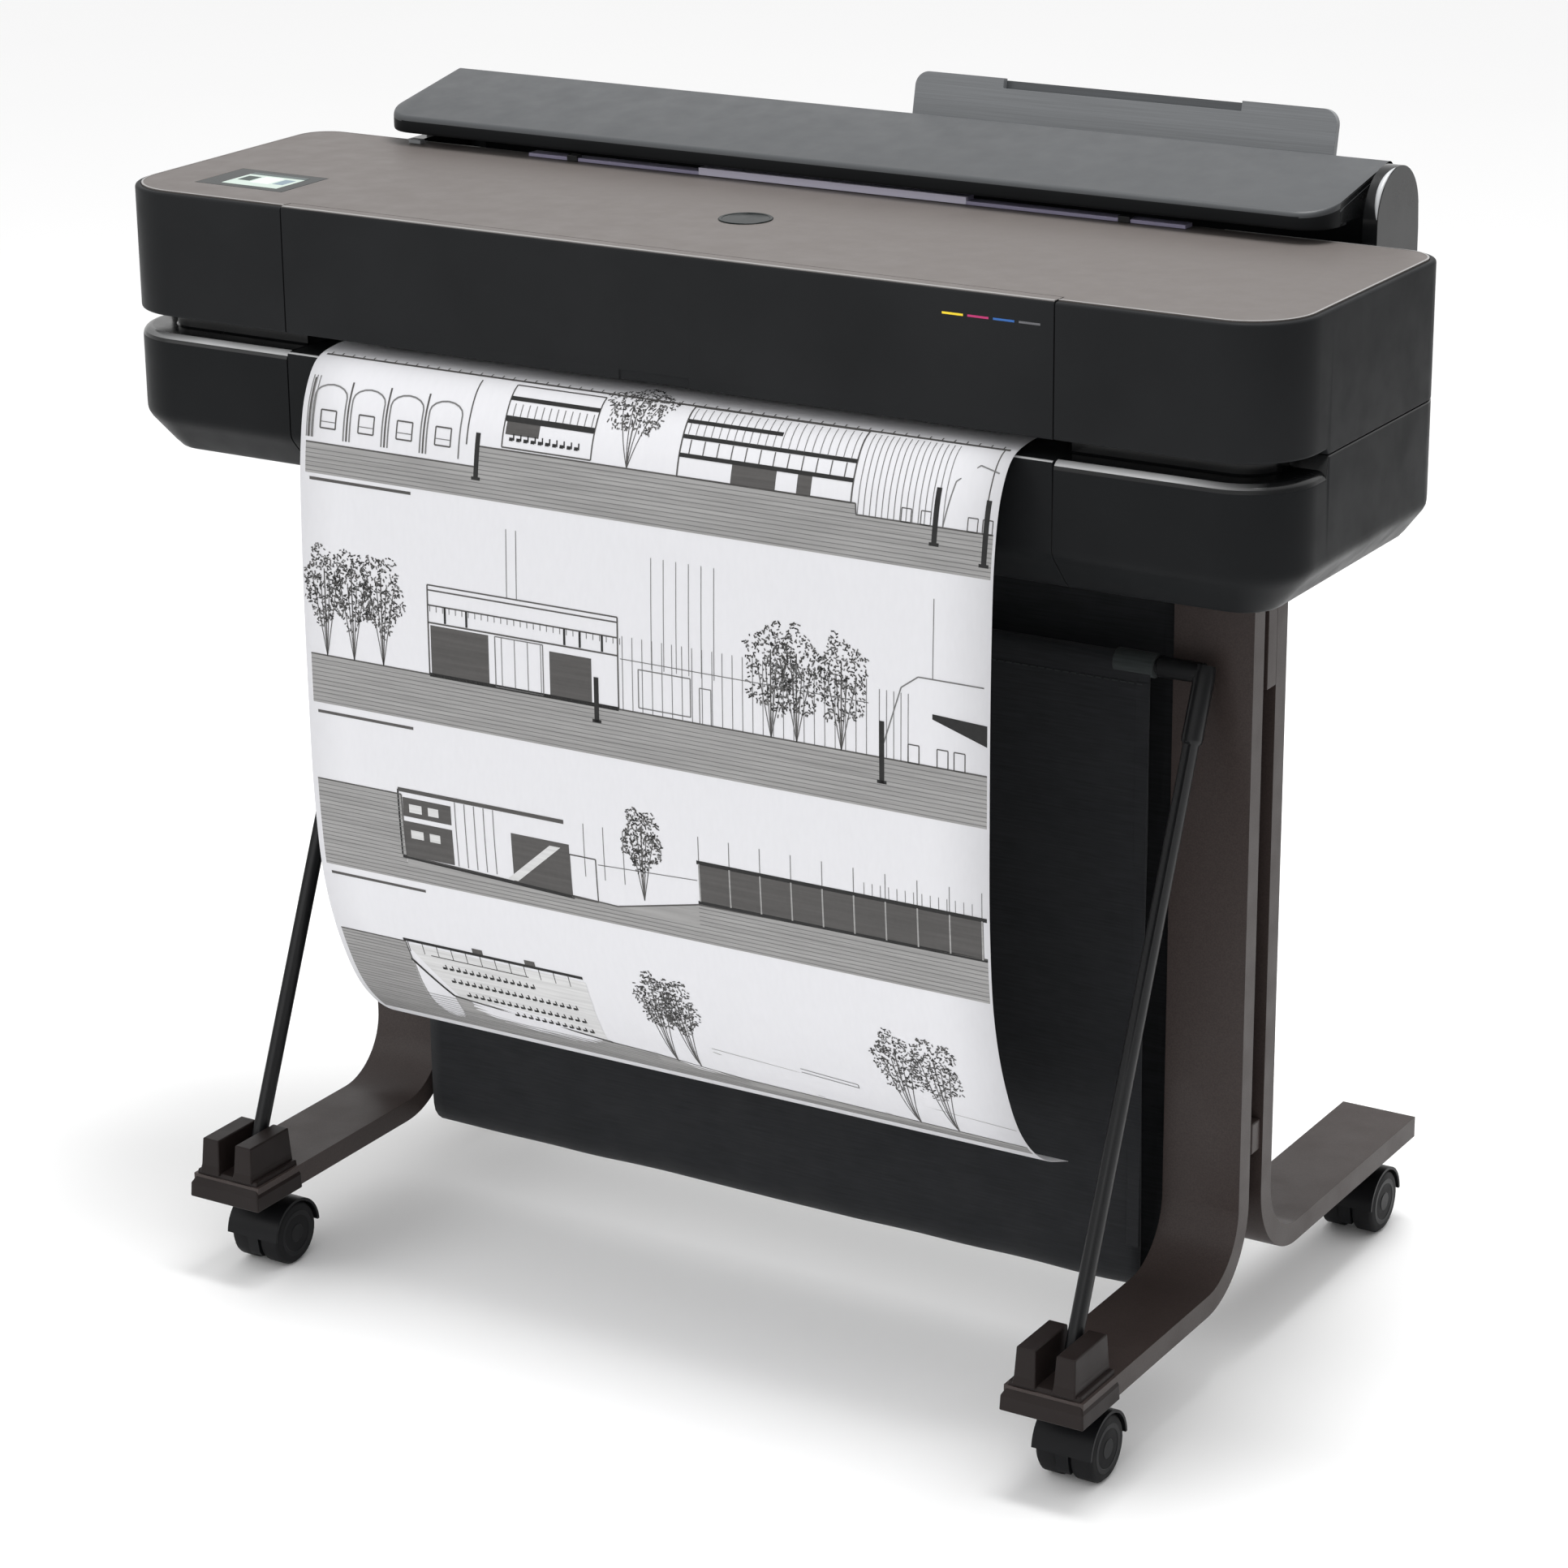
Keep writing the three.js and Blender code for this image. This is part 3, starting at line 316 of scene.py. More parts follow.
def lipped(name, colour, bright):
    """Glossy black plastic with a painted highlight along the front, which fades towards the corners."""
    nodes = Nodes(name)
    split = nodes.add("ShaderNodeSeparateXYZ")
    nodes.link(nodes.coords, split.inputs["Vector"])
    # painted highlight: strongest at the front, fading towards the case's corners, a little uneven
    sideways = nodes.math("ABSOLUTE", split.outputs["X"], 0)
    fade = nodes.spread(sideways, 1, 0, (CASE_HALF - 90) * MM, (CASE_HALF - 20) * MM)
    highlight_strength = nodes.math("MULTIPLY", fade, nodes.spread(nodes.noise(9, 3), 0.75, 1))
    nodes.link(nodes.mix(highlight_strength, colour, bright), nodes.shader.inputs["Base Color"])
    nodes.link(nodes.spread(nodes.noise(42, 4), 0.14, 0.24), nodes.shader.inputs["Roughness"])
    nodes.bump(nodes.noise(1400, 2), 0.08, 0.00006)
    return nodes.material


def painted(name, colour, roughness):
    """Powder coat: orange peel over metal, with fine darker flecks."""
    nodes = Nodes(name)
    nodes.finish(nodes.noise(900, 2), shade(colour, 0.82), shade(colour, 1.16),
                 nodes.noise(30, 3), roughness - 0.05, roughness + 0.06)
    nodes.bump(nodes.noise(420, 2), 0.3, 0.00012)
    nodes.set(specular_ior_level=0.2, coat_weight=0.05, coat_roughness=0.3)
    return nodes.material


def brushed_plastic(name, colour, roughness):
    """Plastic with fine lines along the tray, as if combed."""
    nodes = Nodes(name)
    lines = nodes.noise(1, 4, (9, 260, 900))
    nodes.finish(lines, shade(colour, 0.86), shade(colour, 1.12), lines, roughness - 0.06, roughness + 0.06)
    nodes.bump(lines, 0.3, 0.00005)
    nodes.set(specular_ior_level=0.3)
    return nodes.material


def brushed(name, colour, roughness):
    """Turned or rolled steel: fine lines across the machine."""
    nodes = Nodes(name)
    lines = nodes.noise(1, 4, (6, 900, 900))
    nodes.finish(lines, shade(colour, 0.8), shade(colour, 1.1), lines, roughness - 0.08, roughness + 0.1)
    nodes.bump(lines, 0.2, 0.00003)
    nodes.set(metallic=1.0)
    return nodes.material


def woven(name, colour):
    """Plain-woven polyester: crossing threads, uneven yarn and a dull sheen."""
    nodes = Nodes(name)
    weave = nodes.math("MULTIPLY", nodes.wave("X", 620, 0.4), nodes.wave("Z", 620, 0.4))
    nodes.finish(nodes.noise(1, 3, (30, 30, 700)), shade(colour, 0.75), shade(colour, 1.3),
                 nodes.noise(24, 3), 0.72, 0.88)
    nodes.bump(weave, 0.5, 0.00025)
    nodes.bump(nodes.noise(11, 3), 0.35, 0.004)
    nodes.set(specular_ior_level=0.25, sheen_weight=0.06, sheen_roughness=0.5)
    return nodes.material


def papery(name, colour):
    """Coated paper: faint fibres and a slightly uneven matt surface."""
    nodes = Nodes(name)
    fibres = nodes.noise(1, 5, (260, 90, 90))
    nodes.finish(fibres, shade(colour, 0.985), shade(colour, 1.01), fibres, 0.55, 0.7)
    nodes.bump(nodes.noise(1500, 3), 0.12, 0.00004)
    nodes.set(specular_ior_level=0.3)
    return nodes.material


def inked(name, colour):
    """Pigment ink on paper: even, with slight banding across the print."""
    nodes = Nodes(name)
    nodes.finish(nodes.noise(1, 2, (14, 14, 420)), shade(colour, 0.88), shade(colour, 1.12),
                 nodes.noise(300, 2), 0.5, 0.66)
    nodes.set(specular_ior_level=0.3)
    return nodes.material


def rubbery(name, colour):
    """Rubber tread: fine pitting and a faint dusty bloom."""
    nodes = Nodes(name)
    bloom = nodes.noise(60, 4)
    nodes.finish(bloom, colour, shade(colour, 1.7), bloom, 0.54, 0.74)
    nodes.bump(nodes.noise(1100, 2), 0.3, 0.00008)
    nodes.set(specular_ior_level=0.15)
    return nodes.material


def glassy(name, colour):
    """Black glass with a trace of fingerprints."""
    nodes = Nodes(name)
    smears = nodes.noise(1, 4, (70, 25, 70))
    nodes.finish(smears, colour, shade(colour, 1.5), smears, 0.06, 0.16)
    nodes.set(specular_ior_level=0.14, ior=1.2)
    return nodes.material


def lit(name, colour, strength):
    """Part of the display that shines, with the fine dot grid of a screen."""
    nodes = Nodes(name)
    dots = nodes.math("MULTIPLY", nodes.wave("X", 900), nodes.wave("Y", 900))
    nodes.link(nodes.mix(nodes.spread(dots, 0, 1, 0, 1), shade(colour, 0.9), colour),
               nodes.shader.inputs["Emission Color"])
    nodes.shader.inputs["Base Color"].default_value = (*shade(colour, 0.2), 1)
    nodes.shader.inputs["Emission Strength"].default_value = strength
    return nodes.material


CHARCOAL = moulded("charcoal_case", (0.0168, 0.0175, 0.0185), 0.42, specular=0.04)
DEEP_BLACK = moulded("black_case", (0.0112, 0.0119, 0.0127), 0.38, specular=0.05)
GLOSS_BLACK = moulded("black_gloss", (0.007, 0.0075, 0.008), 0.22, depth=0.08, specular=0.3)
# black lip with a pale painted highlight along the front, in place of the light it reflects
LIP_PAINTED_HIGHLIGHT = lipped("black_lip_painted_highlight", (0.010, 0.0105, 0.011), (0.56, 0.565, 0.57))
FITTING = moulded("black_fitting", (0.009, 0.0095, 0.010), 0.4, specular=0.3)
TAUPE = moulded("taupe_top", (0.107, 0.0955, 0.09), 0.5, grain=1100, depth=0.3, variation=0.008,
                specular=0.25)
# pale grey painted highlight for the bevel round the taupe top
RIM_PAINTED_HIGHLIGHT = moulded("rim_painted_highlight", (0.22, 0.214, 0.21), 0.35, variation=0.05)
SLATE = moulded("slate_cover", (0.047, 0.0502, 0.0535), 0.42, grain=700, depth=0.35, variation=0.03,
                specular=0.3)
GREY = moulded("grey_fitting", (0.25, 0.26, 0.27), 0.5)
LILAC = moulded("lilac_guide", (0.27, 0.25, 0.36), 0.45, variation=0.06)
PALE = moulded("pale_guide", (0.55, 0.53, 0.64), 0.4, variation=0.05)
BROWN = painted("brown_paint", (0.043, 0.0325, 0.030), 0.42)
FOOT = moulded("brown_moulding", (0.0145, 0.0105, 0.0098), 0.42, grain=900, depth=0.4, specular=0.15)
TRAY_SLATE = brushed_plastic("brushed_tray", (0.164, 0.171, 0.178), 0.4)
# a slightly darker plastic, deepened with painted shade for its place behind the tray's notch
TRAY_EXTENSION_SHADED = brushed_plastic("brushed_extension", (0.062, 0.066, 0.07), 0.45)
# pale grey painted highlight for the front edge of the right end housing
HIGHLIGHT = moulded("painted_highlight_edge", (0.42, 0.43, 0.44), 0.25, variation=0.05)
ROD_PAINT = painted("black_paint", (0.008, 0.0083, 0.009), 0.32)
ZINC = brushed("zinc_sheet", (0.55, 0.56, 0.57), 0.42)
STEEL = brushed("turned_steel", (0.62, 0.63, 0.64), 0.28)
RUBBER = rubbery("tyre_rubber", (0.006, 0.006, 0.0066))
CASTER_BLACK = moulded("caster_moulding", (0.006, 0.0063, 0.0072), 0.4, specular=0.15)
CLOTH_BLACK = woven("basket_cloth", (0.0115, 0.0125, 0.0145))
TAB_CLOTH = woven("basket_tabs", (0.025, 0.030, 0.030))
PAPER = papery("coated_paper", (0.70, 0.70, 0.725))
GLASS = glassy("display_glass", (0.006, 0.008, 0.008))
INK_BLACK = inked("ink_black", (0.012, 0.012, 0.012))
INK_DARK = inked("ink_dark", (0.075, 0.072, 0.070))
INK_LINE = inked("ink_line", (0.16, 0.16, 0.16))
INK_MID = inked("ink_mid", (0.300, 0.297, 0.293))
INK_LIGHT = inked("ink_light", (0.60, 0.60, 0.60))
INKS = {
    "yellow": moulded("ink_yellow", (0.80, 0.58, 0.01), 0.4),
    "magenta": moulded("ink_magenta", (0.42, 0.01, 0.12), 0.4),
    "cyan": moulded("ink_cyan", (0.01, 0.10, 0.36), 0.4),
    "black": moulded("ink_grey", (0.10, 0.10, 0.11), 0.4),
}


# ---------- finishes and soft edges on the CAD nodes that stay ----------
def dress(node, material, width, angle=30, segments=3):
    """Gives a CAD node its finish, and rounds its sharp edges without touching its mesh."""
    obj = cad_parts[node]
    for slot in obj.material_slots:
        slot.link = "OBJECT"
        slot.material = material
    weld = obj.modifiers.new("weld", "WELD")
    weld.merge_threshold = 0.01 * MM
    edges = obj.modifiers.new("edges", "BEVEL")
    edges.width = width * MM
    edges.segments = segments
    edges.limit_method = "ANGLE"
    edges.angle_limit = math.radians(angle)
    edges.use_clamp_overlap = True
    normals = obj.modifiers.new("normals", "WEIGHTED_NORMAL")
    normals.weight = 100
    normals.keep_sharp = False
    for polygon in obj.data.polygons:
        polygon.use_smooth = True


def dress_cad():
    rounded = 50       # angle that keeps the facets of round parts out of the bevel
    dress("top_cover", TAUPE, 1.1)
    dress("touch_display", GLASS, 0.4)
    dress("electronics_box", DEEP_BLACK, 2.0)
    dress("roll_bay", DEEP_BLACK, 0.8)
    dress("base_pan", ZINC, 0.6)
    dress("cross_beam", ZINC, 0.8)
    dress("input_guide", LILAC, 0.5)
    dress("platen", GREY, 0.5)
    dress("cutter_shuttle", GREY, 1.0)
    dress("paper_roll", PAPER, 0.3, rounded)
    dress("feeder_tray", TRAY_SLATE, 1.4, 40)
    # extension: darker plastic with painted shade
    dress("feeder_extension", TRAY_EXTENSION_SHADED, 0.6, 40)
    dress("basket_tube", ROD_PAINT, 0.8, rounded)
    dress("stand_top_frame", BROWN, 1.5)
    dress("stand_lower_brace", BROWN, 1.5)
    for node, width in (("power_inlet", 0.5), ("service_station", 1.0), ("ink_bay", 0.6)):
        dress(node, FITTING, width)
    for node, width in (("print_carriage", 2.0), ("roll_spindle", 1.0), ("spindle_stop", 1.0)):
        dress(node, FITTING, width, rounded)
    for node, width in (("pinch_roller", 0.5), ("feed_belt", 0.2)):
        dress(node, RUBBER, width, rounded)
    for node, width in (("drive_roller", 0.5), ("feed_motor", 1.2), ("motor_pulley", 0.4),
                        ("guide_rail", 0.8)):
        dress(node, STEEL, width, rounded)
    for _, side in SIDES:
        dress(f"roll_end_{side}", GLOSS_BLACK, 2.6, rounded, 5)
        for end in ("front", "rear"):
            dress(f"leg_{side}_{end}", BROWN, 3.2, rounded, 4)
            dress(f"caster_fork_{end}_{side}", CASTER_BLACK, 0.9, rounded)
            dress(f"caster_wheel_{end}_{side}", RUBBER, 0.8, rounded)
    for name, material in INKS.items():
        dress(f"ink_cartridge_{name}", material, 1.2)


# ---------- the case ----------
CORNER_STEPS = 16
SIDE_STOPS = (66, 69, 72, 75, 90, 150, 210)     # stops along the sides, close together at the recess's end


def case_outline(side=0.0, front=0.0, rear=0.0, corner_rear=None):
    """The case seen from above, set in by the given amounts, counter-clockwise from the front left."""
    half, back = CASE_HALF - side, CASE_REAR - rear
    r_front = CORNER_FRONT - side
    r_rear = max(CORNER_REAR - side, 2) if corner_rear is None else corner_rear
    points = arc((-half + r_front, front + r_front), r_front, 180, 270, CORNER_STEPS)
    points += arc((half - r_front, front + r_front), r_front, 270, 360, CORNER_STEPS)
    stops = [max(stop, front + r_front + 1 + 0.4 * i) for i, stop in enumerate(SIDE_STOPS)]
    points += [(half, stop) for stop in stops]
    points += arc((half - r_rear, back - r_rear), r_rear, 0, 90, CORNER_STEPS)
    points += arc((-half + r_rear, back - r_rear), r_rear, 90, 180, CORNER_STEPS)
    points += [(-half, stop) for stop in reversed(stops)]
    return points


def case_band(name, stations, material, body="machine"):
    """A shell through rings. Each station gives the ring beside the recess and the one behind it."""
    points = []
    for recessed, behind in stations:
        for near, far in zip(case_outline(**recessed["set"]), case_outline(**behind["set"])):
            chosen, station = (near, recessed) if near[1] < RECESS_END + 1 else (far, behind)
            points.append((chosen[0], chosen[1], station["z"]))
    count = len(case_outline())
    return piece(name, points, rings_to_faces(count, len(stations)), material, body, sharp=40)


def ring(inset, z):
    return {"set": {"side": inset, "front": inset, "rear": inset}, "z": z}


def upper_stations():
    lip = arc((2.2, UNDERSIDE + 2.4), 2.2, 270, 180, 5)
    lip_behind = arc((1.0, PARTING + 1.3), 1.0, 270, 180, 5)
    stations = [(ring(NECK + 4, UNDERSIDE + 0.2), ring(NECK + 4, PARTING + 0.3))]
    stations += [(ring(*near), ring(*far)) for near, far in zip(lip, lip_behind)]
    crown = arc((2.4, RIM_TOP - 2.4), 2.4, 180, 90, 5)
    crown += [(4.6, RIM_TOP), (4.8, RIM_TOP - 0.4), (4.8, RIM_TOP - 3)]
    return stations + [(ring(*point), ring(*point)) for point in crown]


def chamfer_line():
    """(z, how far in) down the sloping underside, with a soft edge where it starts."""
    drop = CHAMFER_TOP - CASE_LOW
    line = [(CHAMFER_TOP + 7, 0), (CHAMFER_TOP + 3, 0.006 * CHAMFER), (CHAMFER_TOP, 0.035 * CHAMFER)]
    line += [(CHAMFER_TOP - drop * share, CHAMFER * share * 0.99) for share in (0.12, 0.25, 0.5, 0.8)]
    return line + [(CASE_LOW + 3, CHAMFER * 0.91), (CASE_LOW + 1, CHAMFER * 0.98), (CASE_LOW, CHAMFER * 1.05)]


def chamfer_stations():
    stations = []
    for z, inset in chamfer_line():
        amount = {"side": inset, "front": inset, "rear": 0, "corner_rear": CORNER_REAR - 0.6 * inset}
        stations.append(({"set": amount, "z": z},) * 2)
    inner = {"side": CHAMFER + 8, "front": CHAMFER + 8, "rear": 6, "corner_rear": 12}
    return stations + [({"set": inner, "z": CASE_LOW},) * 2]


def lower_stations():
    lip = arc((7.5, SHELF - 7.5), 7.5, 90, 180, 8)
    lip_behind = arc((1.0, PARTING - 1.4), 1.0, 90, 180, 8)
    stations = [(ring(NECK, UNDERSIDE - 0.2), ring(NECK, PARTING - 0.4)),
                (ring(NECK, SHELF + 1.2), ring(NECK - 6, PARTING - 0.4)),
                (ring(NECK - 1.2, SHELF), ring(NECK - 12, PARTING - 0.4))]
    stations += [(ring(*near), ring(*far)) for near, far in zip(lip, lip_behind)]
    return stations + chamfer_stations()


def case_ends():
    for side, seam, keep in (("left", SEAM_LEFT, -1), ("right", SEAM_RIGHT, 1)):
        for half, stations, material in (("upper", upper_stations(), CHARCOAL),
                                         ("lower", lower_stations(), GLOSS_BLACK)):
            shell = case_band(f"{half}_shell_{side}", stations, material)
            cut_at(shell, seam, keep)
            thicken(shell, 2.4)
            bevel(shell, 0.5, 2, 50)
            if half == "lower":
                shell.data.materials.append(DEEP_BLACK)
                # third material: painted highlight on the lip
                shell.data.materials.append(LIP_PAINTED_HIGHLIGHT)
                paint_levels(shell)
            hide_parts(f"{half}_end_{side}")


def paint_levels(obj):
    """Lower shells: black walls, with a painted highlight on the lip round the shelf."""
    for polygon in obj.data.polygons:
        middle = polygon.center
        forward = middle.y < FRONT_Y + RECESS_END * MM
        if middle.z < (SHELF - 6) * MM:
            polygon.material_index = 1
        # the top of the lip gets the painted highlight
        elif (SHELF - 3.4) * MM < middle.z < (SHELF - 0.02) * MM and forward:
            polygon.material_index = 2


def rims():
    """The bevel round the taupe top, pale grey as a painted highlight: one loop on the two ends, one strip on
    the hinged cover.
    """
    inner, outer = case_outline(6.6, 6.6, 6.6), case_outline(5.1, 5.1, 5.1)
    foot, level = CASE_TOP - 0.6, CASE_TOP + 0.25
    loops = ((outer, foot), (outer, level - 0.15), (inner, level), (inner, foot))
    points = [(x, back, z) for loop, z in loops for x, back in loop]
    for side, seam, keep in (("left", SEAM_LEFT, -1), ("right", SEAM_RIGHT, 1)):
        rim = piece(f"top_rim_{side}", points, rings_to_faces(len(outer), 4), RIM_PAINTED_HIGHLIGHT, slot="top_plastic")
        cut_at(rim, seam, keep)
    # the same painted highlight along the front cover's top edge
    x = (FRONT_COVER.x[0] + 0.5, FRONT_COVER.x[1] - 0.5)
    strip = piece("front_cover_rim", *slab(x, (1.0, 3.4), (CASE_TOP - 0.5, CASE_TOP + 0.2)), RIM_PAINTED_HIGHLIGHT,
                  "front_cover", "top_plastic")
    bevel(strip, 0.2, 2)


def front_cover_shell():
    """The hinged front cover, with its flange over the top and a finger grip in its lower edge."""
    rear = FRONT_COVER.back[1]
    wall, grip_half, grip_depth, grip_top = 4, 30, 1.6, UNDERSIDE + 8

    def outline(dent):
        low = [(wall, UNDERSIDE + 0.2), (2 + dent, UNDERSIDE + 0.2)]
        low += arc((1.6 + dent, UNDERSIDE + 1.8), 1.6, 270, 180, 4)
        step = [(dent, grip_top - 1.2), (dent * 0.5, grip_top), (0, grip_top + 1.2)]
        top = arc((2.6, CASE_TOP - 2.6), 2.6, 180, 90, 6)
        return low + step + top + [(rear, CASE_TOP), (rear, CASE_TOP - wall), (wall, CASE_TOP - wall)]

    plain, dented = outline(0), outline(grip_depth)
    sections = [(FRONT_COVER.x[0], plain), (-grip_half - 1, plain), (-grip_half, dented),
                (grip_half, dented), (grip_half + 1, plain), (FRONT_COVER.x[1], plain)]
    cover = piece("front_cover_shell", *loft_x(sections), CHARCOAL, "front_cover", "case")
    cover.data.materials.append(TAUPE)
    for polygon in cover.data.polygons:
        if polygon.center.z > (CASE_TOP - 0.6) * MM:
            polygon.material_index = 1
    bevel(cover, 0.5, 2, 40)
    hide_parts("front_cover")


def lower_front_shell():
    """The fixed panel below the slot."""
    panel = Span("lower_front_panel")
    wall, shelf = 3, 56
    lip = arc((2.4, SHELF - 2.4), 2.4, 90, 180, 5)
    outline = [(shelf, SHELF)] + lip + [(back, z) for z, back in chamfer_line()]
    outline += [(panel.back[1], CASE_LOW), (panel.back[1], CASE_LOW + wall), (CHAMFER + 3, CASE_LOW + wall)]
    outline += [(wall, CHAMFER_TOP + 3), (wall, SHELF - wall), (shelf, SHELF - wall)]
    shell = piece("lower_front_shell", *loft_x([(panel.x[0], outline), (panel.x[1], outline)]),
                  DEEP_BLACK, slot="lower_case")
    # the lip's top faces get the painted highlight
    shell.data.materials.append(LIP_PAINTED_HIGHLIGHT)
    for polygon in shell.data.polygons:
        if (SHELF - 1.3) * MM < polygon.center.z < (SHELF - 0.02) * MM:
            polygon.material_index = 1
    bevel(shell, 0.4, 2, 50)
    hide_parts("lower_front_panel")


def top_details():
    """The plain disc on the top and the lit part of the display."""
    back, radius = 132, 21
    profile = [(-0.4, radius), (0.5, radius), (0.9, radius - 0.5), (0.9, radius - 2.6),
               (0.6, radius - 3.0), (0.7, radius - 8), (0.8, 0.5)]
    piece("top_badge", *turned(profile, (0, back, CASE_TOP), "z", 64), GLASS, slot="display_glass")
    screen = (-438, -384)
    tiles = (
        ("page", screen, (53, 97), 0.10, (0.56, 0.66, 0.60), 0.9),
        ("bar", screen, (90, 97), 0.18, (0.09, 0.12, 0.12), 0.6),
        ("tile_dark", (-434, -422), (68, 84), 0.18, (0.03, 0.06, 0.05), 0.5),
        ("tile_white", (-419, -401), (64, 86), 0.18, (0.80, 0.86, 0.83), 0.9),
        ("tile_blue", (-398, -388), (66, 84), 0.18, (0.22, 0.30, 0.36), 0.8),
    )
    for name, x, back, lift, colour, strength in tiles:
        z = (CASE_TOP - 0.3, CASE_TOP + lift)
        tile = piece(f"screen_{name}", *slab(x, back, z), lit(f"screen_{name}", colour, strength),
                     slot="display_glass")
        bevel(tile, 0.05, 1)


def cover_dashes():
    """Four coloured dashes on the front cover."""
    first, step, width, z = 243.5, 20.5, 17, (869.2, 870.8)
    for index, (name, material) in enumerate(INKS.items()):
        x = first + index * step
        dash = piece(f"dash_{name}", *slab((x, x + width), (-0.15, 0.4), z), material, "front_cover",
                     f"ink_{name}")
        bevel(dash, 0.1, 2)


# ---------- the roll unit ----------
LIP_BACK, LIP_LOW, LIP_TOP = ROLL_COVER.back[0], 898, 913     # the cover's front edge
RIDGE_BACK, RIDGE_Z = 365, 932
COVER_SLOPE = (RIDGE_Z - LIP_TOP) / (RIDGE_BACK - LIP_BACK)
COVER_CORNER = 28


def roll_cover_shell():
    """The hinged cover over the roll: a slanting slab with rounded front corners and black ends."""
    x_end = Span("roll_bay").x[1]
    rear, rear_z = ROLL_COVER.back[1], 908
    wall = 3

    def outline(shift):
        lip, lip_top = LIP_BACK + shift, LIP_TOP + shift * COVER_SLOPE
        under = [(lip + 12, LIP_LOW + 2), (lip + 12, LIP_LOW), (lip + 3, LIP_LOW)]
        front = arc((lip + 3, LIP_LOW + 3), 3, 270, 180, 4)[1:]
        brow = arc((lip + 5, lip_top - 5.6), 5, 180, 99, 7)
        ridge = arc((RIDGE_BACK - 3, RIDGE_Z - 9), 9, 99, 48, 7)
        tail = [(rear, rear_z + 1), (rear, rear_z - 8), (rear - wall, rear_z - 8), (rear - wall, rear_z)]
        inside = [(RIDGE_BACK - 3, RIDGE_Z - wall - 1.5), (lip + 7, lip_top - wall - 3),
                  (lip + wall, lip_top - 8), (lip + wall, LIP_LOW + 2)]
        return under + front + brow + ridge + tail + inside

    flat = x_end - COVER_CORNER
    bends = arc((0, COVER_CORNER), COVER_CORNER, -90, 0, 12)
    sections = [(-flat - x, outline(shift)) for x, shift in reversed(bends)]
    sections += [(flat + x, outline(shift)) for x, shift in bends]
    cover = piece("roll_cover_shell", *loft_x(sections, caps=False), SLATE, "roll_cover", "cover_grey",
                  sharp=30)
    cover.data.materials.append(DEEP_BLACK)
    for polygon in cover.data.polygons:
        if polygon.center.z < (LIP_TOP - 5) * MM:
            polygon.material_index = 1
    bevel(cover, 0.4, 2, 50)
    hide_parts("roll_cover")
    for side, name in SIDES:
        cover_end(side, name, x_end, rear)


def cover_end(side, name, x_end, rear):
    """Black end wall of the roll cover, with the boss that turns on the hinge."""
    front = LIP_BACK + COVER_CORNER + 1
    outline = [(front, LIP_LOW + 1)] + arc((HINGE_BACK, HINGE_Z), 14, 165, 375, 16)
    outline += [(rear - 2, 901), (rear - 2, 909)] + arc((RIDGE_BACK - 3, RIDGE_Z - 10), 8, 48, 99, 6)
    outline += [(front, LIP_TOP - 2 + COVER_SLOPE * COVER_CORNER)]
    x = sorted((side * (x_end - 4), side * (x_end - 0.3)))
    wall = piece(f"roll_cover_end_{name}", *loft_x([(x[0], outline), (x[1], outline)]),
                 GLOSS_BLACK, "roll_cover", "cover_grey")
    bevel(wall, 0.6, 2, 40)


def end_highlight():
    """A painted highlight along the front edge of the right end housing, where its dome starts."""
    end = Span("roll_end_right")
    radius, steps = 38.15, 28
    points = []
    for i in range(steps + 1):
        share = i / steps
        angle = math.radians(100 + 74 * share)
        width = math.sin(math.pi * share) ** 0.8 * 1.9
        for x, lift in ((end.x[1] - 0.6, 0), (end.x[1] - 0.9 - width, 0.15), (end.x[1] - 1.2 - 2 * width, 0)):
            points.append((x, HINGE_BACK + (radius + lift) * math.cos(angle),
                           HINGE_Z + (radius + lift) * math.sin(angle)))
    faces = rings_to_faces(3, steps + 1, closed=False)
    edge = piece("roll_end_painted_highlight", points, faces, HIGHLIGHT, slot="black_fitting")
    thicken(edge, 0.2, -1)


def feed_guides():
    """What shows under the cover's lip: the brighter middle of the guide, its dividers and a tab."""
    guide = Span("input_guide")
    base, front = guide.z[0], guide.back[0]
    bright = slab((-120, 122), (front - 0.6, front + 3), (base + 0.2, guide.z[1] + 0.3))
    bevel(piece("guide_bright_strip", *bright, PALE, slot="pale_guide"), 0.5, 2)
    blocks = [slab((x - 5, x + 5), (front - 1.2, front + 6), (base, base + 5)) for x in (-240, 257)]
    bevel(piece("guide_dividers", *several(blocks), FITTING, slot="black_fitting"), 0.5, 2)
    tab = slab((-402, -390), (front - 1, front + 6), (base, base + 3.4))
    bevel(piece("guide_tab", *tab, GREY, slot="pale_guide"), 0.6, 2)


def bay_closers():
    """Thin walls that close the roll bay at both ends."""
    bay, end = Span("roll_bay"), Span("roll_end_left")
    closers = [slab(x, (end.back[1] - 6, bay.back[1] - 4.3), (bay.z[0] + 20, end.z[1] - 30))
               for x in ((bay.x[0] - 3.6, bay.x[0] - 0.6), (bay.x[1] + 0.6, bay.x[1] + 3.6))]
    bevel(piece("roll_bay_closers", *several(closers), DEEP_BLACK, slot="black_fitting"), 0.5, 2)


# ---------- the hanging print ----------
# (back, z) of the paper: from the roll to the slot, and from the slot to its free lower edge
INSIDE_PATH = [(334, 862.6), (306, 858), (276, 844), (236, 812), (196, 785), (168, 779.4), (140, 779),
               (60, 779)]
HANGING_PATH = [(18, 779.6), (-8, 773), (-24, 750), (-33, 710), (-37, 640), (-38, 520), (-36, 420),
                (-28, 350), (-10, 292), (16, 244), (50, 212), (92, 194)]
PATH_STEPS = 12


def between(a, b, start, end, now):
    return (a * (end - now) + b * (now - start)) / (end - start)


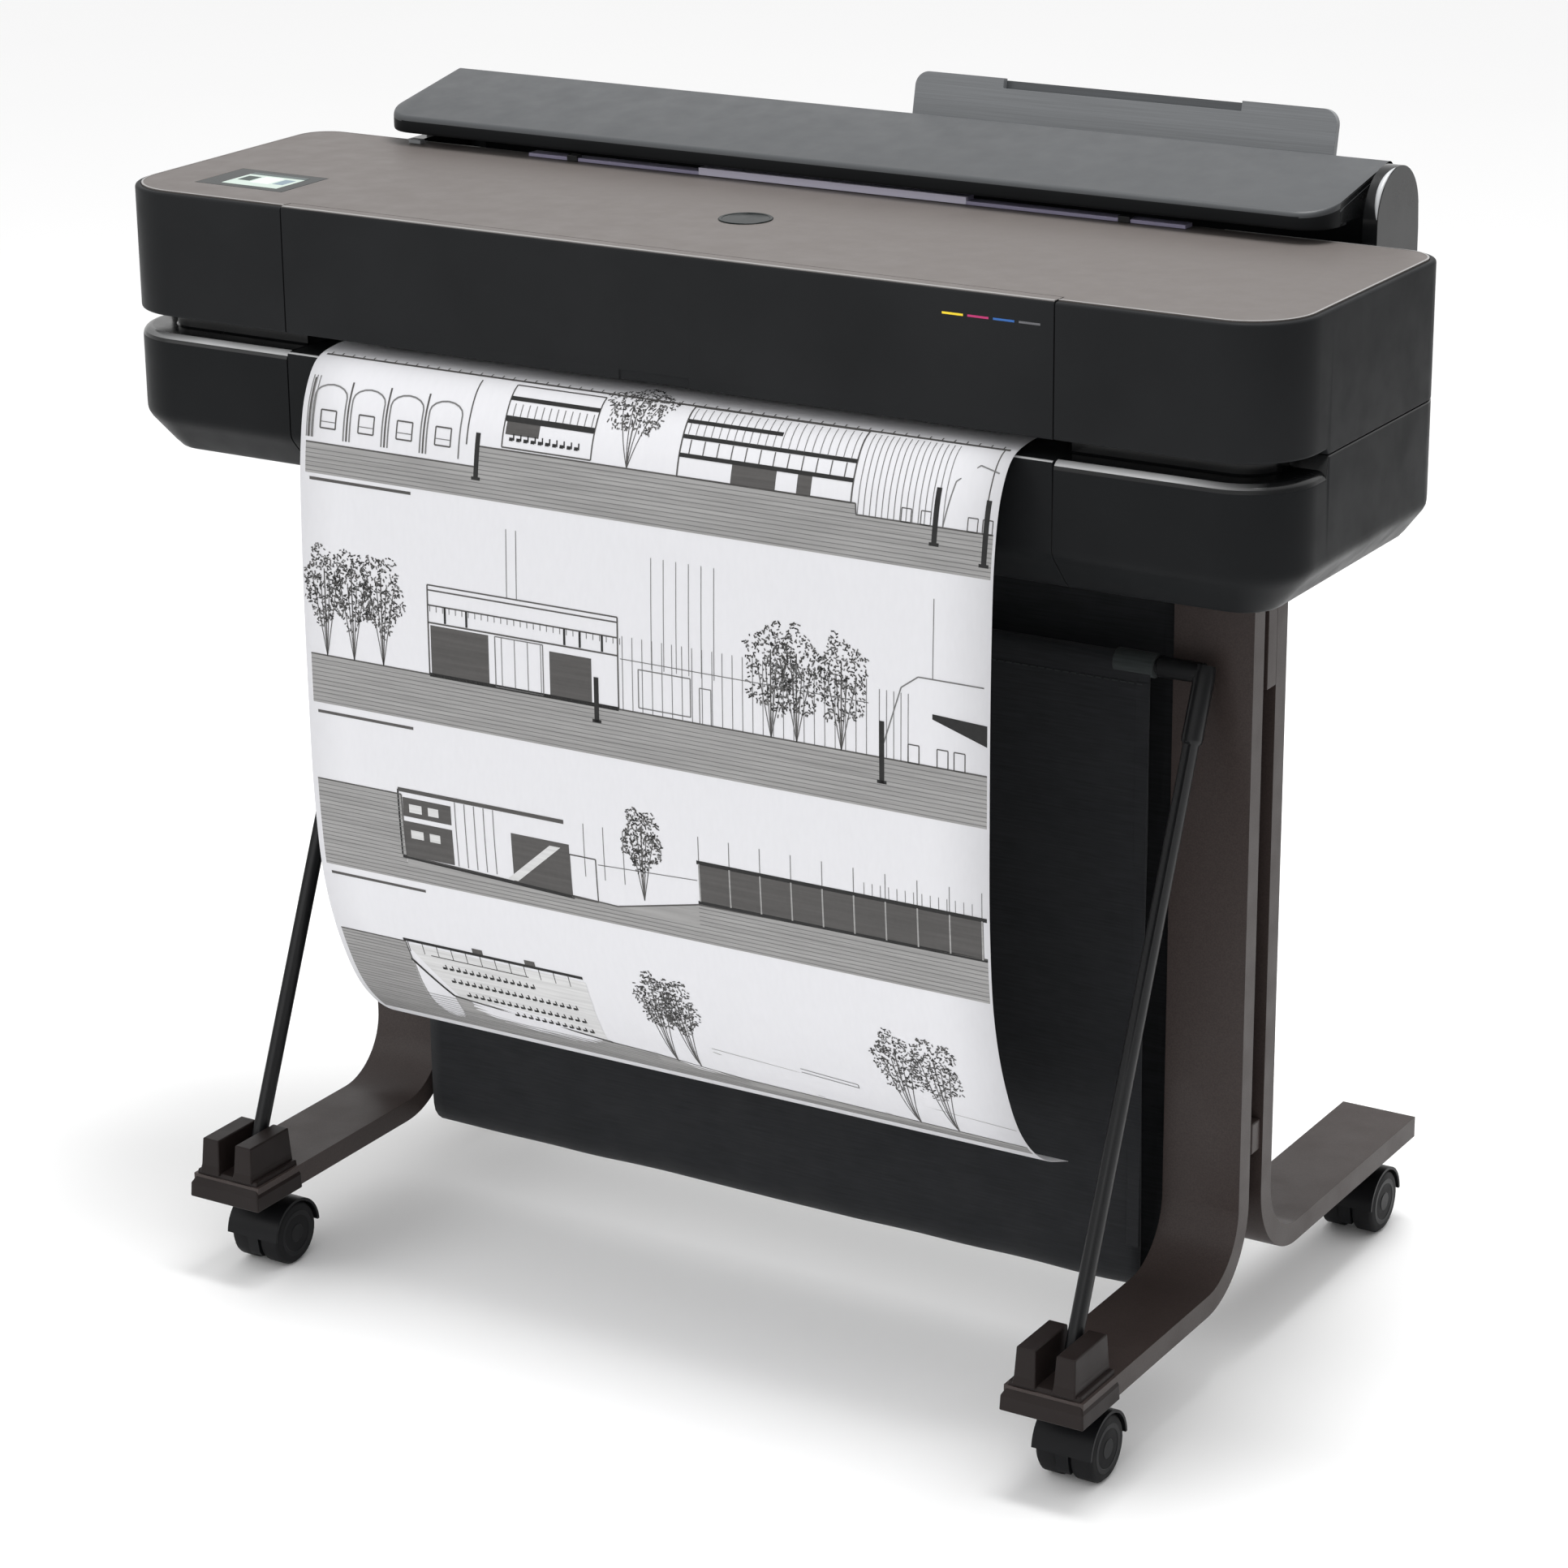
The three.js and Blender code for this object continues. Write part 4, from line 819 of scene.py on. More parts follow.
def smooth_path(points, steps):
    """Centripetal Catmull-Rom curve through the points, as dense (back, z) points."""
    before = tuple(2 * a - b for a, b in zip(points[0], points[1]))
    after = tuple(2 * a - b for a, b in zip(points[-1], points[-2]))
    knots = [before, *points, after]
    dense = []
    for i in range(1, len(knots) - 2):
        p = [Vector(knot) for knot in knots[i - 1:i + 3]]
        t = [0.0]
        for a, b in zip(p, p[1:]):
            t.append(t[-1] + math.sqrt((b - a).length))
        for step in range(steps):
            now = t[1] + (t[2] - t[1]) * step / steps
            first = [between(p[k], p[k + 1], t[k], t[k + 1], now) for k in range(3)]
            second = [between(first[k], first[k + 1], t[k], t[k + 2], now) for k in range(2)]
            blend = between(second[0], second[1], t[1], t[2], now)
            dense.append((blend.x, blend.y))
    return dense + [tuple(points[-1])]


class Path:
    """A curve in (back, z) that gives its point and outward normal at a distance along it."""

    def __init__(self, points):
        self.points = [Vector(point) for point in points]
        self.reach = [0.0]
        for a, b in zip(self.points, self.points[1:]):
            self.reach.append(self.reach[-1] + (b - a).length)

    @property
    def length(self):
        return self.reach[-1]

    def at(self, distance, lift=0.0):
        distance = min(max(distance, 0.0), self.length)
        index = next(i for i in range(1, len(self.reach)) if self.reach[i] >= distance)
        a, b = self.points[index - 1], self.points[index]
        share = (distance - self.reach[index - 1]) / max(self.reach[index] - self.reach[index - 1], 1e-9)
        along = (b - a).normalized()
        outward = Vector((along.y, -along.x))
        return a.lerp(b, share) + outward * lift


WHOLE_SHEET = smooth_path(INSIDE_PATH + HANGING_PATH, PATH_STEPS)
PRINT = Path(WHOLE_SHEET[len(INSIDE_PATH) * PATH_STEPS:])
PAPER_LIFT = 0.25                # ink above the middle of the paper


def strip_along(path, half, across, stations, lift=None):
    """Points and faces of a sheet along a path. lift(x, distance) moves it off the path."""
    points = []
    for i in range(stations + 1):
        distance = path.length * i / stations
        for j in range(across + 1):
            x = half * (2 * j / across - 1)
            back, z = path.at(distance, lift(x, distance) if lift else 0.0)
            points.append((x, back, z))
    return points, rings_to_faces(across + 1, stations + 1, closed=False)


def printed_sheet():
    """The web from the roll through the slot, hanging and curling back above the basket."""
    path = Path(WHOLE_SHEET)
    sheet = piece("printed_sheet_web", *strip_along(path, PAPER_HALF, 12, 260), PAPER, slot="paper", sharp=80)
    thicken(sheet, 0.4, 0.0)
    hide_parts("printed_sheet")


class Drawing:
    """Ink on the print. Everything is drawn at (u across, s down from the slot) in millimetres."""

    MATERIALS = [INK_BLACK, INK_DARK, INK_LINE, INK_MID, INK_LIGHT]     # by tone, 0 to 4
    STEP = 5.0                    # longest stretch down the paper that stays flat
    LINE_WEIGHT = 1.3
    LEAVES = 420
    EDGE = PAPER_HALF - 1.2       # ink stops short of the paper's edges

    def __init__(self):
        self.points, self.faces, self.tones = [], [], []

    def quad(self, corners, tone, layer):
        start = len(self.points)
        for u, s in corners:
            back, z = PRINT.at(s, PAPER_LIFT + 0.05 * layer)
            self.points.append((max(-self.EDGE, min(self.EDGE, u)), back, z))
        self.faces.append(tuple(range(start, start + 4)))
        self.tones.append(tone)

    def shape(self, top, bottom, tone, layer=1):
        """A filled stretch between two (u, s) edges, split finely enough to follow the paper."""
        (u0, s0), (u1, s1) = top
        (v0, t0), (v1, t1) = bottom
        parts = max(1, math.ceil(max(abs(t0 - s0), abs(t1 - s1)) / self.STEP))
        for i in range(parts):
            a, b = i / parts, (i + 1) / parts
            corners = [(u0 + (v0 - u0) * a, s0 + (t0 - s0) * a), (u1 + (v1 - u1) * a, s1 + (t1 - s1) * a),
                       (u1 + (v1 - u1) * b, s1 + (t1 - s1) * b), (u0 + (v0 - u0) * b, s0 + (t0 - s0) * b)]
            self.quad(corners, tone, layer)

    def box(self, u, s, tone, layer=1):
        self.shape(((u[0], s[0]), (u[1], s[0])), ((u[0], s[1]), (u[1], s[1])), tone, layer)

    def line(self, u0, s0, u1, s1, width=0.7, tone=2, layer=3):
        along = Vector((u1 - u0, s1 - s0))
        side = Vector((-along.y, along.x)).normalized() * width * self.LINE_WEIGHT / 2
        if abs(along.y) > abs(along.x):
            self.shape(((u0 - side.x, s0 - side.y), (u0 + side.x, s0 + side.y)),
                       ((u1 - side.x, s1 - side.y), (u1 + side.x, s1 + side.y)), tone, layer)
        else:
            self.quad([(u0 - side.x, s0 - side.y), (u1 - side.x, s1 - side.y),
                       (u1 + side.x, s1 + side.y), (u0 + side.x, s0 + side.y)], tone, layer)

    def frame(self, u, s, width=0.7, tone=2):
        corners = [(u[0], s[0]), (u[1], s[0]), (u[1], s[1]), (u[0], s[1]), (u[0], s[0])]
        self.curve(corners, width, tone)

    def curve(self, points, width=0.7, tone=2):
        for a, b in zip(points, points[1:]):
            self.line(*a, *b, width, tone)

    def ground(self, edge, bottom):
        """Cut ground under an uneven surface line, hatched with level lines."""
        for (u0, s0), (u1, s1) in zip(edge, edge[1:]):
            if u1 - u0 < 0.5:
                continue
            self.shape(((u0, s0), (u1, s1)), ((u0, bottom), (u1, bottom)), 3)
            self.line(u0, s0, u1, s1, 0.9, 1)
            s = bottom - 2
            while s > max(s0, s1) + 2:
                self.line(u0, s, u1, s, 0.45, 2)
                s -= 3.4

    def tree(self, u, s, width, height, trunk, seed):
        """A crown of many small leaf strokes on a thin forked trunk."""
        rng = random.Random(seed)
        for fork in (-0.28, -0.1, 0.12, 0.3):
            self.line(u, trunk, u + fork * width, s + height * 0.45, 0.55, 1)
        self.line(u, trunk, u, s + height * 0.3, 0.8, 1)
        for _ in range(self.LEAVES):
            angle, reach = rng.uniform(0, 2 * math.pi), math.sqrt(rng.random())
            ragged = 1 + 0.12 * math.sin(5 * angle + seed)
            x = u + math.cos(angle) * reach * width / 2 * ragged
            y = s + height / 2 + math.sin(angle) * reach * height / 2 * ragged
            turn, size = rng.uniform(0, math.pi), rng.uniform(1.4, 3.2)
            tip = (x + size * math.cos(turn), y + size * math.sin(turn))
            self.line(x, y, *tip, 0.8, rng.choice((0, 1, 1, 2)))

    def columns(self, u, count, gap, s, width=0.5, tone=2):
        for i in range(count):
            self.line(u + i * gap, s[0], u + i * gap, s[1], width, tone)

    def footing(self, u, s):
        """A black column cut through, standing on its footing."""
        self.box((u - 2.1, u + 2.1), s, 0, 4)
        self.box((u - 4, u + 4), (s[1] - 2.5, s[1]), 0, 4)

    def rule(self, s, length):
        """A plain bar where a title would stand."""
        self.box((-296, -296 + length), (s, s + 2.4), 1, 2)

    def arcade(self, u, s, width, count):
        """Arches on thin piers with a window in each."""
        for i in range(count):
            left = u + i * width
            top = [(left + width / 2 - math.cos(a) * width * 0.42, s[0] + 9 - math.sin(a) * 9)
                   for a in [math.pi * k / 8 for k in range(9)]]
            self.curve([(left + width * 0.08, s[1])] + top + [(left + width * 0.92, s[1])], 1.0)
            self.line(left, s[0] - 4, left, s[1], 1.2, 1)
            self.frame((left + width * 0.3, left + width * 0.7), (s[0] + 20, s[1] - 8), 0.9, 1)
            self.line(left + width * 0.3, s[0] + 29, left + width * 0.7, s[0] + 29, 0.5)

    def seats(self, u, count, s):
        """A row of small black seats."""
        for i in range(count):
            x = u + i * 6.5
            self.box((x, x + 3.4), (s, s + 2.6), 0, 3)
            self.line(x + 3.6, s - 3, x + 4.2, s + 2, 0.9, 0)


def make_drawing(drawing):
    obj = bpy.data.objects.new("print_drawings", bpy.data.meshes.new("print_drawings"))
    obj.data.from_pydata([place(*point) for point in drawing.points], [], drawing.faces)
    for material in Drawing.MATERIALS:
        obj.data.materials.append(material)
    obj.data.polygons.foreach_set("material_index", drawing.tones)
    bpy.context.scene.collection.objects.link(obj)
    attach(obj, "machine")


def street_section(d):
    """First band: an arcade, a cut house, a tree and a two-storey hall."""
    d.line(-300, 19, 300, 19, 1.6, 1)
    d.columns(-296, 60, 10, (15, 19), 0.7, 1)
    d.arcade(-298, (46, 88), 36, 4)
    d.columns(-300, 3, 3, (40, 88), 0.6)
    d.ground([(-300, 92), (-140, 92), (-139, 76), (190, 76), (191, 84), (303, 84)], 116)
    d.line(-150, 24, -150, 76, 0.9, 1)
    d.frame((-118, -38), (24, 74), 0.9, 1)
    for s, width in ((36, 2.6), (52, 3.4)):
        d.line(-118, s, -38, s, width, 0)
    d.box((-116, -86), (54, 64), 1)
    d.columns(-112, 12, 6.4, (40, 50), 0.6)
    d.seats(-112, 10, 66)
    d.tree(-6, 3, 56, 46, 76, 3)
    d.frame((38, 186), (20, 76), 1.0, 1)
    for s, u in ((34, (38, 120)), (46, (38, 186)), (60, (38, 186))):
        d.line(u[0], s, u[1], s, 2.4, 0)
    d.box((84, 122), (61, 76), 1)
    d.box((140, 152), (61, 76), 1)
    d.columns(42, 22, 6.6, (22, 45), 0.5)
    d.columns(46, 12, 12, (48, 59), 0.7, 1)
    d.columns(192, 15, 5, (22, 84), 0.5)
    d.curve([(262, 84), (268, 50), (284, 36), (300, 40)], 0.8)
    for u in (228, 244, 282, 294):
        d.frame((u, u + 8), (74, 84), 0.6, 1)
    for u, s in ((-140, (66, 102)), (256, (56, 98)), (297, (60, 108))):
        d.footing(u, s)
    d.line(296, 20, 296, 60, 0.8, 1)


def garden_section(d):
    """Second band: trees, an open house, a fence and a stair."""
    d.ground([(-300, 262), (-186, 262), (-185, 262), (-12, 262), (215, 262), (303, 262)], 302)
    for u, seed in ((-284, 11), (-258, 12), (-230, 13)):
        d.tree(u, 172, 40, 64, 262, seed)
    for s in (190, 194, 206):
        d.line(-186, s, -12, s, 0.9, 1)
    d.columns(-184, 30, 6, (206, 211), 0.5)
    d.columns(-186, 2, 174, (190, 262), 1.0, 1)
    d.line(-186, 220, -12, 220, 1.0, 1)
    d.box((-184, -130), (222, 262), 1)
    d.box((-74, -36), (226, 262), 1)
    d.frame((-124, -80), (222, 262), 0.7)
    d.columns(-118, 4, 12, (222, 262), 0.5)
    for u in (-170, -150, -60, -46, -26):
        d.line(u, 206, u, 219, 1.5, 0)
    d.line(-186, 262, -12, 262, 2.4, 0)
    d.columns(-112, 2, 9, (136, 190), 0.5)
    d.columns(18, 6, 11, (140, 226), 0.45)
    d.columns(-8, 25, 8.8, (204, 262), 0.45)
    d.line(-10, 222, 205, 222, 0.5)
    d.frame((6, 52), (228, 258), 0.7)
    d.frame((60, 70), (234, 262), 0.6)
    for u, seed in ((122, 21), (144, 22), (182, 23)):
        d.tree(u, 174, 44, 68, 262, seed)
    d.curve([(214, 262), (232, 206), (246, 196), (300, 196)], 0.8)
    d.columns(214, 5, 6, (210, 262), 0.45)
    d.line(258, 136, 258, 196, 0.5)
    d.shape(((258, 222), (303, 224)), ((258, 226), (303, 240)), 0, 3)
    for u in (238, 262, 276):
        d.frame((u, u + 9), (248, 262), 0.7, 1)
    for u, s in ((-32, (240, 276)), (216, (234, 282))):
        d.footing(u, s)


def pavilion_section(d):
    """Third band: a house with a stair in the bank and a long glazed hall."""
    d.ground([(-300, 366), (-219, 366), (-218, 418), (-20, 424), (54, 408), (303, 404)], 440)
    d.line(-222, 362, -66, 362, 2.6, 1)
    d.line(-222, 362, -222, 418, 1.2, 0)
    d.box((-218, -172), (368, 384), 1)
    d.box((-218, -172), (388, 418), 1)
    for s in (373, 395):
        d.box((-212, -200), (s, s + 7), 4, 3)
        d.box((-194, -184), (s, s + 7), 4, 3)
    d.columns(-168, 5, 9, (364, 418), 0.6)
    d.box((-116, -62), (380, 423), 1)
    d.shape(((-122, 420), (-112, 420)), ((-80, 384), (-70, 384)), 4, 4)
    d.frame((-62, -38), (388, 424), 0.8, 1)
    d.line(-222, 419, -60, 424, 2.2, 0)
    d.columns(-48, 3, 18, (360, 404), 0.5)
    d.line(-36, 392, 54, 388, 0.5)
    d.tree(5, 338, 36, 52, 414, 31)
    d.box((56, 300), (374, 405), 1)
    d.line(54, 373, 303, 373, 2.4, 0)
    d.columns(56, 10, 27, (352, 373), 0.5)
    for i in range(10):
        d.line(56 + 27 * i, 374, 56 + 27 * i, 405, 1.0, 3, 4)
    d.line(54, 406, 303, 405, 2.0, 0)
    d.columns(200, 14, 7, (362, 372), 0.4)


def theatre_section(d):
    """Fourth band: a raked theatre in the bank, trees and open lawns."""
    d.ground([(-300, 502), (-236, 502), (-235, 520), (-205, 556), (-60, 572), (-20, 574)], 606)
    d.ground([(-20, 574), (60, 584), (303, 592)], 606)
    d.shape(((-236, 504), (-64, 504)), ((-200, 556), (-64, 570)), 4, 2)
    d.line(-238, 500, -66, 500, 2.2, 0)
    d.columns(-234, 12, 14, (500, 512), 0.6, 1)
    for u, count, s in ((-206, 14, 522), (-202, 19, 536), (-192, 18, 550), (-150, 12, 562)):
        d.seats(u, count, s)
    d.line(-214, 512, -120, 512, 0.8, 1)
    d.curve([(-236, 520), (-206, 556), (-60, 572)], 1.8, 0)
    for u in (-170, -120):
        d.box((u, u + 10), (494, 500), 1, 3)
    for u, seed in ((-1, 41), (20, 44)):
        d.tree(u, 480, 34, 56, 578, seed)
    for u, seed in ((213, 42), (246, 43)):
        d.tree(u, 484, 42, 62, 590, seed)
    d.curve([(40, 548), (303, 566)], 0.5, 3)
    d.curve([(40, 552), (130, 584)], 0.5, 3)
    d.curve([(40, 552), (190, 588)], 0.5, 3)
    d.curve([(120, 548), (170, 552), (170, 556), (120, 552)], 0.6, 2)


def drawings():
    drawing = Drawing()
    street_section(drawing)
    drawing.rule(119, 96)
    garden_section(drawing)
    drawing.rule(308, 92)
    pavilion_section(drawing)
    drawing.rule(446, 92)
    theatre_section(drawing)
    make_drawing(drawing)


# ---------- the basket ----------
TUBE_BACK, TUBE_Z = sum(TUBE.back) / 2, sum(TUBE.z) / 2
ROD_X, ROD_FOOT, ROD_HEAD = 378.5, (-38, 112), (160, 579)     # places as (back, z)
ROD_STEPS = 40


def basket_path():
    """The cloth from its hem round the tube, down in front, round the fold and up behind."""
    loop = (TUBE.z[1] - TUBE.z[0]) / 2 + 1.4
    front, rear = TUBE_BACK - loop, CLOTH.back[1] - 1
    radius = (rear - front) / 2
    low = CLOTH.z[0] + 1 + radius
    points = arc((TUBE_BACK, TUBE_Z), loop, -70, 180, 16)
    points += [(front, TUBE_Z + (low - TUBE_Z) * i / 40) for i in range(1, 40)]
    points += arc((front + radius, low), radius, 180, 360, 16)
    points += [(rear, low + (CLOTH.z[1] - low) * i / 44) for i in range(1, 45)]
    return Path(points), loop, front, rear


def cloth_sag(x, distance, half):
    """How far the cloth lies off its flat line: slow waves, and ripples towards its edges."""
    slow = noise.noise(Vector((x / 260, distance / 330, 1.7))) * 2.6
    edge = max(0.0, abs(x) / half - 0.8) / 0.2
    ripple = math.sin(distance / 58 + (2 if x > 0 else 0)) * 1.8 * edge * edge
    crease = noise.noise(Vector((x / 70, distance / 420, 6.1))) * 0.9
    return slow + ripple + crease


def basket():
    """One strip of cloth: its front layer hangs from the tube, its rear layer rises behind."""
    path, loop, front, rear = basket_path()
    half = CLOTH.x[1]

    def lift(x, distance):
        pinned = min(1.0, max(0.0, distance - 5 * loop) / 120, max(0.0, path.length - distance) / 90)
        return cloth_sag(x, distance, half) * pinned

    cloth = piece("basket_cloth", *strip_along(path, half, 64, 170, lift), CLOTH_BLACK, body=None, sharp=80)
    thicken(cloth, 1.0, 0.0)
    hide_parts("basket_fabric_front", "basket_fabric_rear")
    hems = basket_hems(path)
    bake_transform(cloth)


def basket_hems(path):
    """Turned and stitched edges down both sides of the front layer, and the stitching under the tube."""
    half, front = CLOTH.x[1], path.at(200)[0] - 0.9
    low, high = 104, TUBE_Z - 12
    hem_parts, stitch_count = 24, 96
    step = (high - low) / hem_parts
    hems = []
    for side, name in SIDES:
        x = sorted((side * (half - 11), side * (half - 0.4)))
        parts = [slab(x, (front - 0.3, front + 0.5), (low + step * i, low + step * (i + 1)))
                 for i in range(hem_parts)]
        hem = piece(f"basket_hem_{name}", *several(parts), CLOTH_BLACK, "basket_frame", "basket_cloth")
        bevel(hem, 0.25, 2)
        hems.append(hem)
    z = high - 2
    places = [-half + 8 + i * (2 * half - 16) / (stitch_count - 1) for i in range(stitch_count)]
    stitches = [slab((x - 2.2, x + 2.2), (front - 0.7, front + 0.2), (z, z + 0.8)) for x in places]
    hems.append(piece("basket_stitching", *several(stitches), TAB_CLOTH, "basket_frame", "basket_cloth"))
    return hems


def basket_fittings():
    """Corner sleeves on the tube, and the tabs that tie the rear layer to the legs."""
    for side, name in SIDES:
        x = sorted((side * 306, side * (TUBE.x[1] - 1.5)))
        outline = arc((TUBE_BACK, TUBE_Z), 9.6, 0, 360, 32)[:-1]
        sleeve = piece(f"basket_sleeve_{name}", *loft_x([(x[0], outline), (x[1], outline)]), TAB_CLOTH,
                       "basket_frame", "basket_cloth")
        bevel(sleeve, 0.8, 2, 60)
        tab_x = sorted((side * (CLOTH.x[1] - 26), side * 344.5))
        tabs = [slab(tab_x, (CLOTH.back[1] - 0.2, CLOTH.back[1] + 1.4), z) for z in ((182, 204), (610, 634))]
        tab = piece(f"basket_tabs_{name}", *several(tabs), CLOTH_BLACK, slot="basket_cloth")
        bevel(tab, 0.5, 2)


def rod_section(x, centre, out, half_x, half_out, groove):
    """One oval ring of a rod, with a shallow groove on the side that faces out."""
    points = []
    for i in range(ROD_STEPS):
        angle = 2 * math.pi * i / ROD_STEPS
        u, v = math.cos(angle) * half_x, math.sin(angle) * half_out
        if groove and v > 0 and abs(u) < half_x * 0.45:
            v -= groove * (1 - (abs(u) / (half_x * 0.45)) ** 2)
        middle = centre + out * v
        points.append((x + u, middle.x, middle.y))
    return points


def basket_rods():
    """Oval rods with a shallow groove down the front, thicker at the top."""
    foot, head = Vector(ROD_FOOT), Vector(ROD_HEAD)
    along = (head - foot).normalized()
    out = Vector((-along.y, along.x))
    reach = (head - foot).length
    stations = [(-7, 4.6, 5.4, 0), (-6, 6, 7, 0), (12, 6, 7, 1.6), (reach - 54, 6, 7, 1.6),
                (reach - 52, 7.6, 8.6, 0), (reach - 50, 8, 9, 0), (reach - 2, 8, 9, 0),
                (reach + 6, 7, 8, 0)]
    for side, name in SIDES:
        x = side * ROD_X
        points = []
        for distance, *sizes in stations:
            points += rod_section(x, foot + along * distance, out, *sizes)
        faces = rings_to_faces(ROD_STEPS, len(stations))
        faces += [tuple(reversed(range(ROD_STEPS))), tuple(range(len(points) - ROD_STEPS, len(points)))]
        rod = piece(f"basket_rod_bar_{name}", points, faces, ROD_PAINT, "basket_frame", "rod_black", sharp=40)
        start, end = sorted((side * (TUBE.x[1] + 0.5), x))
        profile = [(start, 7), (start + 1, 8), (end - 1, 8), (end, 7)]
        elbow = piece(f"basket_rod_elbow_{name}", *turned(profile, (0, head.x, head.y)), ROD_PAINT,
                      "basket_frame", "rod_black")
        bevel(elbow, 0.4, 2, 50)
        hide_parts(f"basket_rod_{name}")


# ---------- feet ----------
def frustum(low_x, low_back, low_z, high_x, high_back, high_z):
    points = [(x, back, low_z) for back in low_back for x in low_x]
    points += [(x, back, high_z) for back in high_back for x in high_x]
    faces = [(0, 2, 3, 1), (4, 5, 7, 6), (0, 1, 5, 4), (1, 3, 7, 5), (3, 2, 6, 7), (2, 0, 4, 6)]
    return points, faces


def foot_caps():
    """Stepped caps on the front feet, each with two towers that hold a rod."""
    step, shelf = 91, 96
    for _, name in SIDES:
        span = Span(f"foot_cap_{name}")
        centre = sum(span.x) / 2
        front, rear = span.back
        half = (span.x[1] - span.x[0]) / 2
        base, top = span.z

        def x_range(inset):
            return (centre - half + inset, centre + half - inset)

        parts = [
            frustum(x_range(0), (front, rear), base, x_range(0.6), (front + 0.6, rear), base + 12),
            frustum(x_range(0.6), (front + 0.6, rear), base + 12, x_range(4.5), (front + 5, rear), step),
            frustum(x_range(4.5), (front + 5, rear), step, x_range(5), (front + 5.5, rear), shelf),
        ]
        for side in (-1, 1):
            tower = sorted((centre + side * 7.5, centre + side * 25.5))
            tip = (tower[0] + 1, tower[1] - 1)
            root = (tower[0] - 1, tower[1] + 1)
            parts.append(frustum(root, (front + 3, rear), shelf - 2, tower, (front + 5, rear), shelf + 5))
            parts.append(frustum(tower, (front + 5, rear), shelf + 5, tip, (front + 7, rear - 1.5), top))
        cap = piece(f"foot_cap_shell_{name}", *several(parts), FOOT, slot="foot_plastic", sharp=25)
        bevel(cap, 1.3, 3, 25)
        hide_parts(f"foot_cap_{name}")


def caster_hubs():
    """Axle caps with a small recess on the outside of every wheel."""
    # (how far proud of the wheel, radius), from the rim of the cap to its middle
    cap = ((-0.6, 20), (0.3, 19.4), (0.3, 16), (-0.2, 15.4), (-0.2, 8), (0.5, 7.4), (0.5, 0.5))
    for end in ("front", "rear"):
        for _, name in SIDES:
            wheel = Span(f"caster_wheel_{end}_{name}")
            _, back, z = wheel.middle()
            hubs = []
            for side, face in zip((-1, 1), wheel.x):
                profile = [(face + side * proud, radius) for proud, radius in cap]
                hubs.append(turned(profile, (0, back, z)))
            hub = piece(f"caster_hubs_{end}_{name}", *several(hubs), CASTER_BLACK, f"wheel_{end}_{name}",
                        "caster_plastic")
            bevel(hub, 0.2, 2, 40)


# ---------- the back ----------
def screw_heads(name, places, back, profile):
    """Round heads with a recess, at (x, z) places on a wall that faces the rear."""
    points, faces = turned(profile, (0, 0, 0), "z", 20)
    heads = [([(x + px, back + pz, z + py) for px, py, pz in points], faces) for x, z in places]
    piece(name, *several(heads), STEEL, slot="bright_steel")


def rear_details():
    """Louvres, screws and sockets on the rear of the electronics box."""
    rear = Span("electronics_box").back[1]
    louvres = []
    for group in (-250, 60, 300):
        for row in range(6):
            z = 690 + row * 9
            louvres.append(frustum((group, group + 90), (rear - 0.4, rear - 0.3), z, (group + 1, group + 89),
                                   (rear - 0.4, rear + 1.8), z + 4))
    bevel(piece("rear_louvres", *several(louvres), FITTING, slot="lower_case"), 0.3, 2)
    sockets_x = (-120, -92, -64)
    sockets = [slab((x, x + 17), (rear - 0.4, rear + 0.9), (694, 710)) for x in sockets_x]
    bevel(piece("rear_sockets", *several(sockets), ZINC, slot="sheet_steel"), 0.4, 2)
    holes = [slab((x + 2.5, x + 14.5), (rear, rear + 1.1), (696.5, 707.5)) for x in sockets_x]
    piece("rear_socket_mouths", *several(holes), GLOSS_BLACK, slot="black_fitting")
    places = [(x, z) for x in (-430, -180, 0, 200, 430) for z in (686, 756)]
    disc = [(-0.4, 3.6), (0.7, 3.6), (1.3, 2.8), (1.4, 1.3), (0.8, 0.9), (0.8, 0.3)]
    screw_heads("rear_screws", places, rear, disc)


def leg_details():
    """Screws that hold the leg plates to the lower brace and to the frame under the case."""
    plate = Span("leg_left_rear")
    places = [(side * 378, z) for side, _ in SIDES for z in (186, 200, 600, 640)]
    disc = [(-0.4, 4.2), (0.8, 4.2), (1.6, 3.2), (1.7, 1.6), (1.0, 1.2), (1.0, 0.3)]
    screw_heads("leg_screws", places, plate.back[0] + 18, disc)


# ---------- stage, light and camera ----------
def stage():
    """A plain white floor."""
    mesh = bpy.data.meshes.new("floor")
    mesh.from_pydata([(-6, -6, 0), (6, -6, 0), (6, 14, 0), (-6, 14, 0)], [], [(0, 1, 2, 3)])
    floor = bpy.data.objects.new("floor", mesh)
    bpy.context.scene.collection.objects.link(floor)
    nodes = Nodes("floor_white")
    cloudy = nodes.noise(0.8, 2)
    nodes.link(nodes.mix(nodes.spread(cloudy, 0, 1), (0.985, 0.985, 0.985), (0.995, 0.995, 0.995)),
               nodes.shader.inputs["Base Color"])
    nodes.set(roughness=1.0, specular_ior_level=0.0)
    mesh.materials.append(nodes.material)


def area_light(name, location, target, size, power):
    data = bpy.data.lights.new(name, "AREA")
    data.shape = "RECTANGLE"
    data.size, data.size_y = size
    data.energy = power
    light = bpy.data.objects.new(name, data)
    light.location = location
    aim = Vector(target) - Vector(location)
    light.rotation_mode = "QUATERNION"
    light.rotation_quaternion = aim.to_track_quat("-Z", "Y")
    bpy.context.scene.collection.objects.link(light)


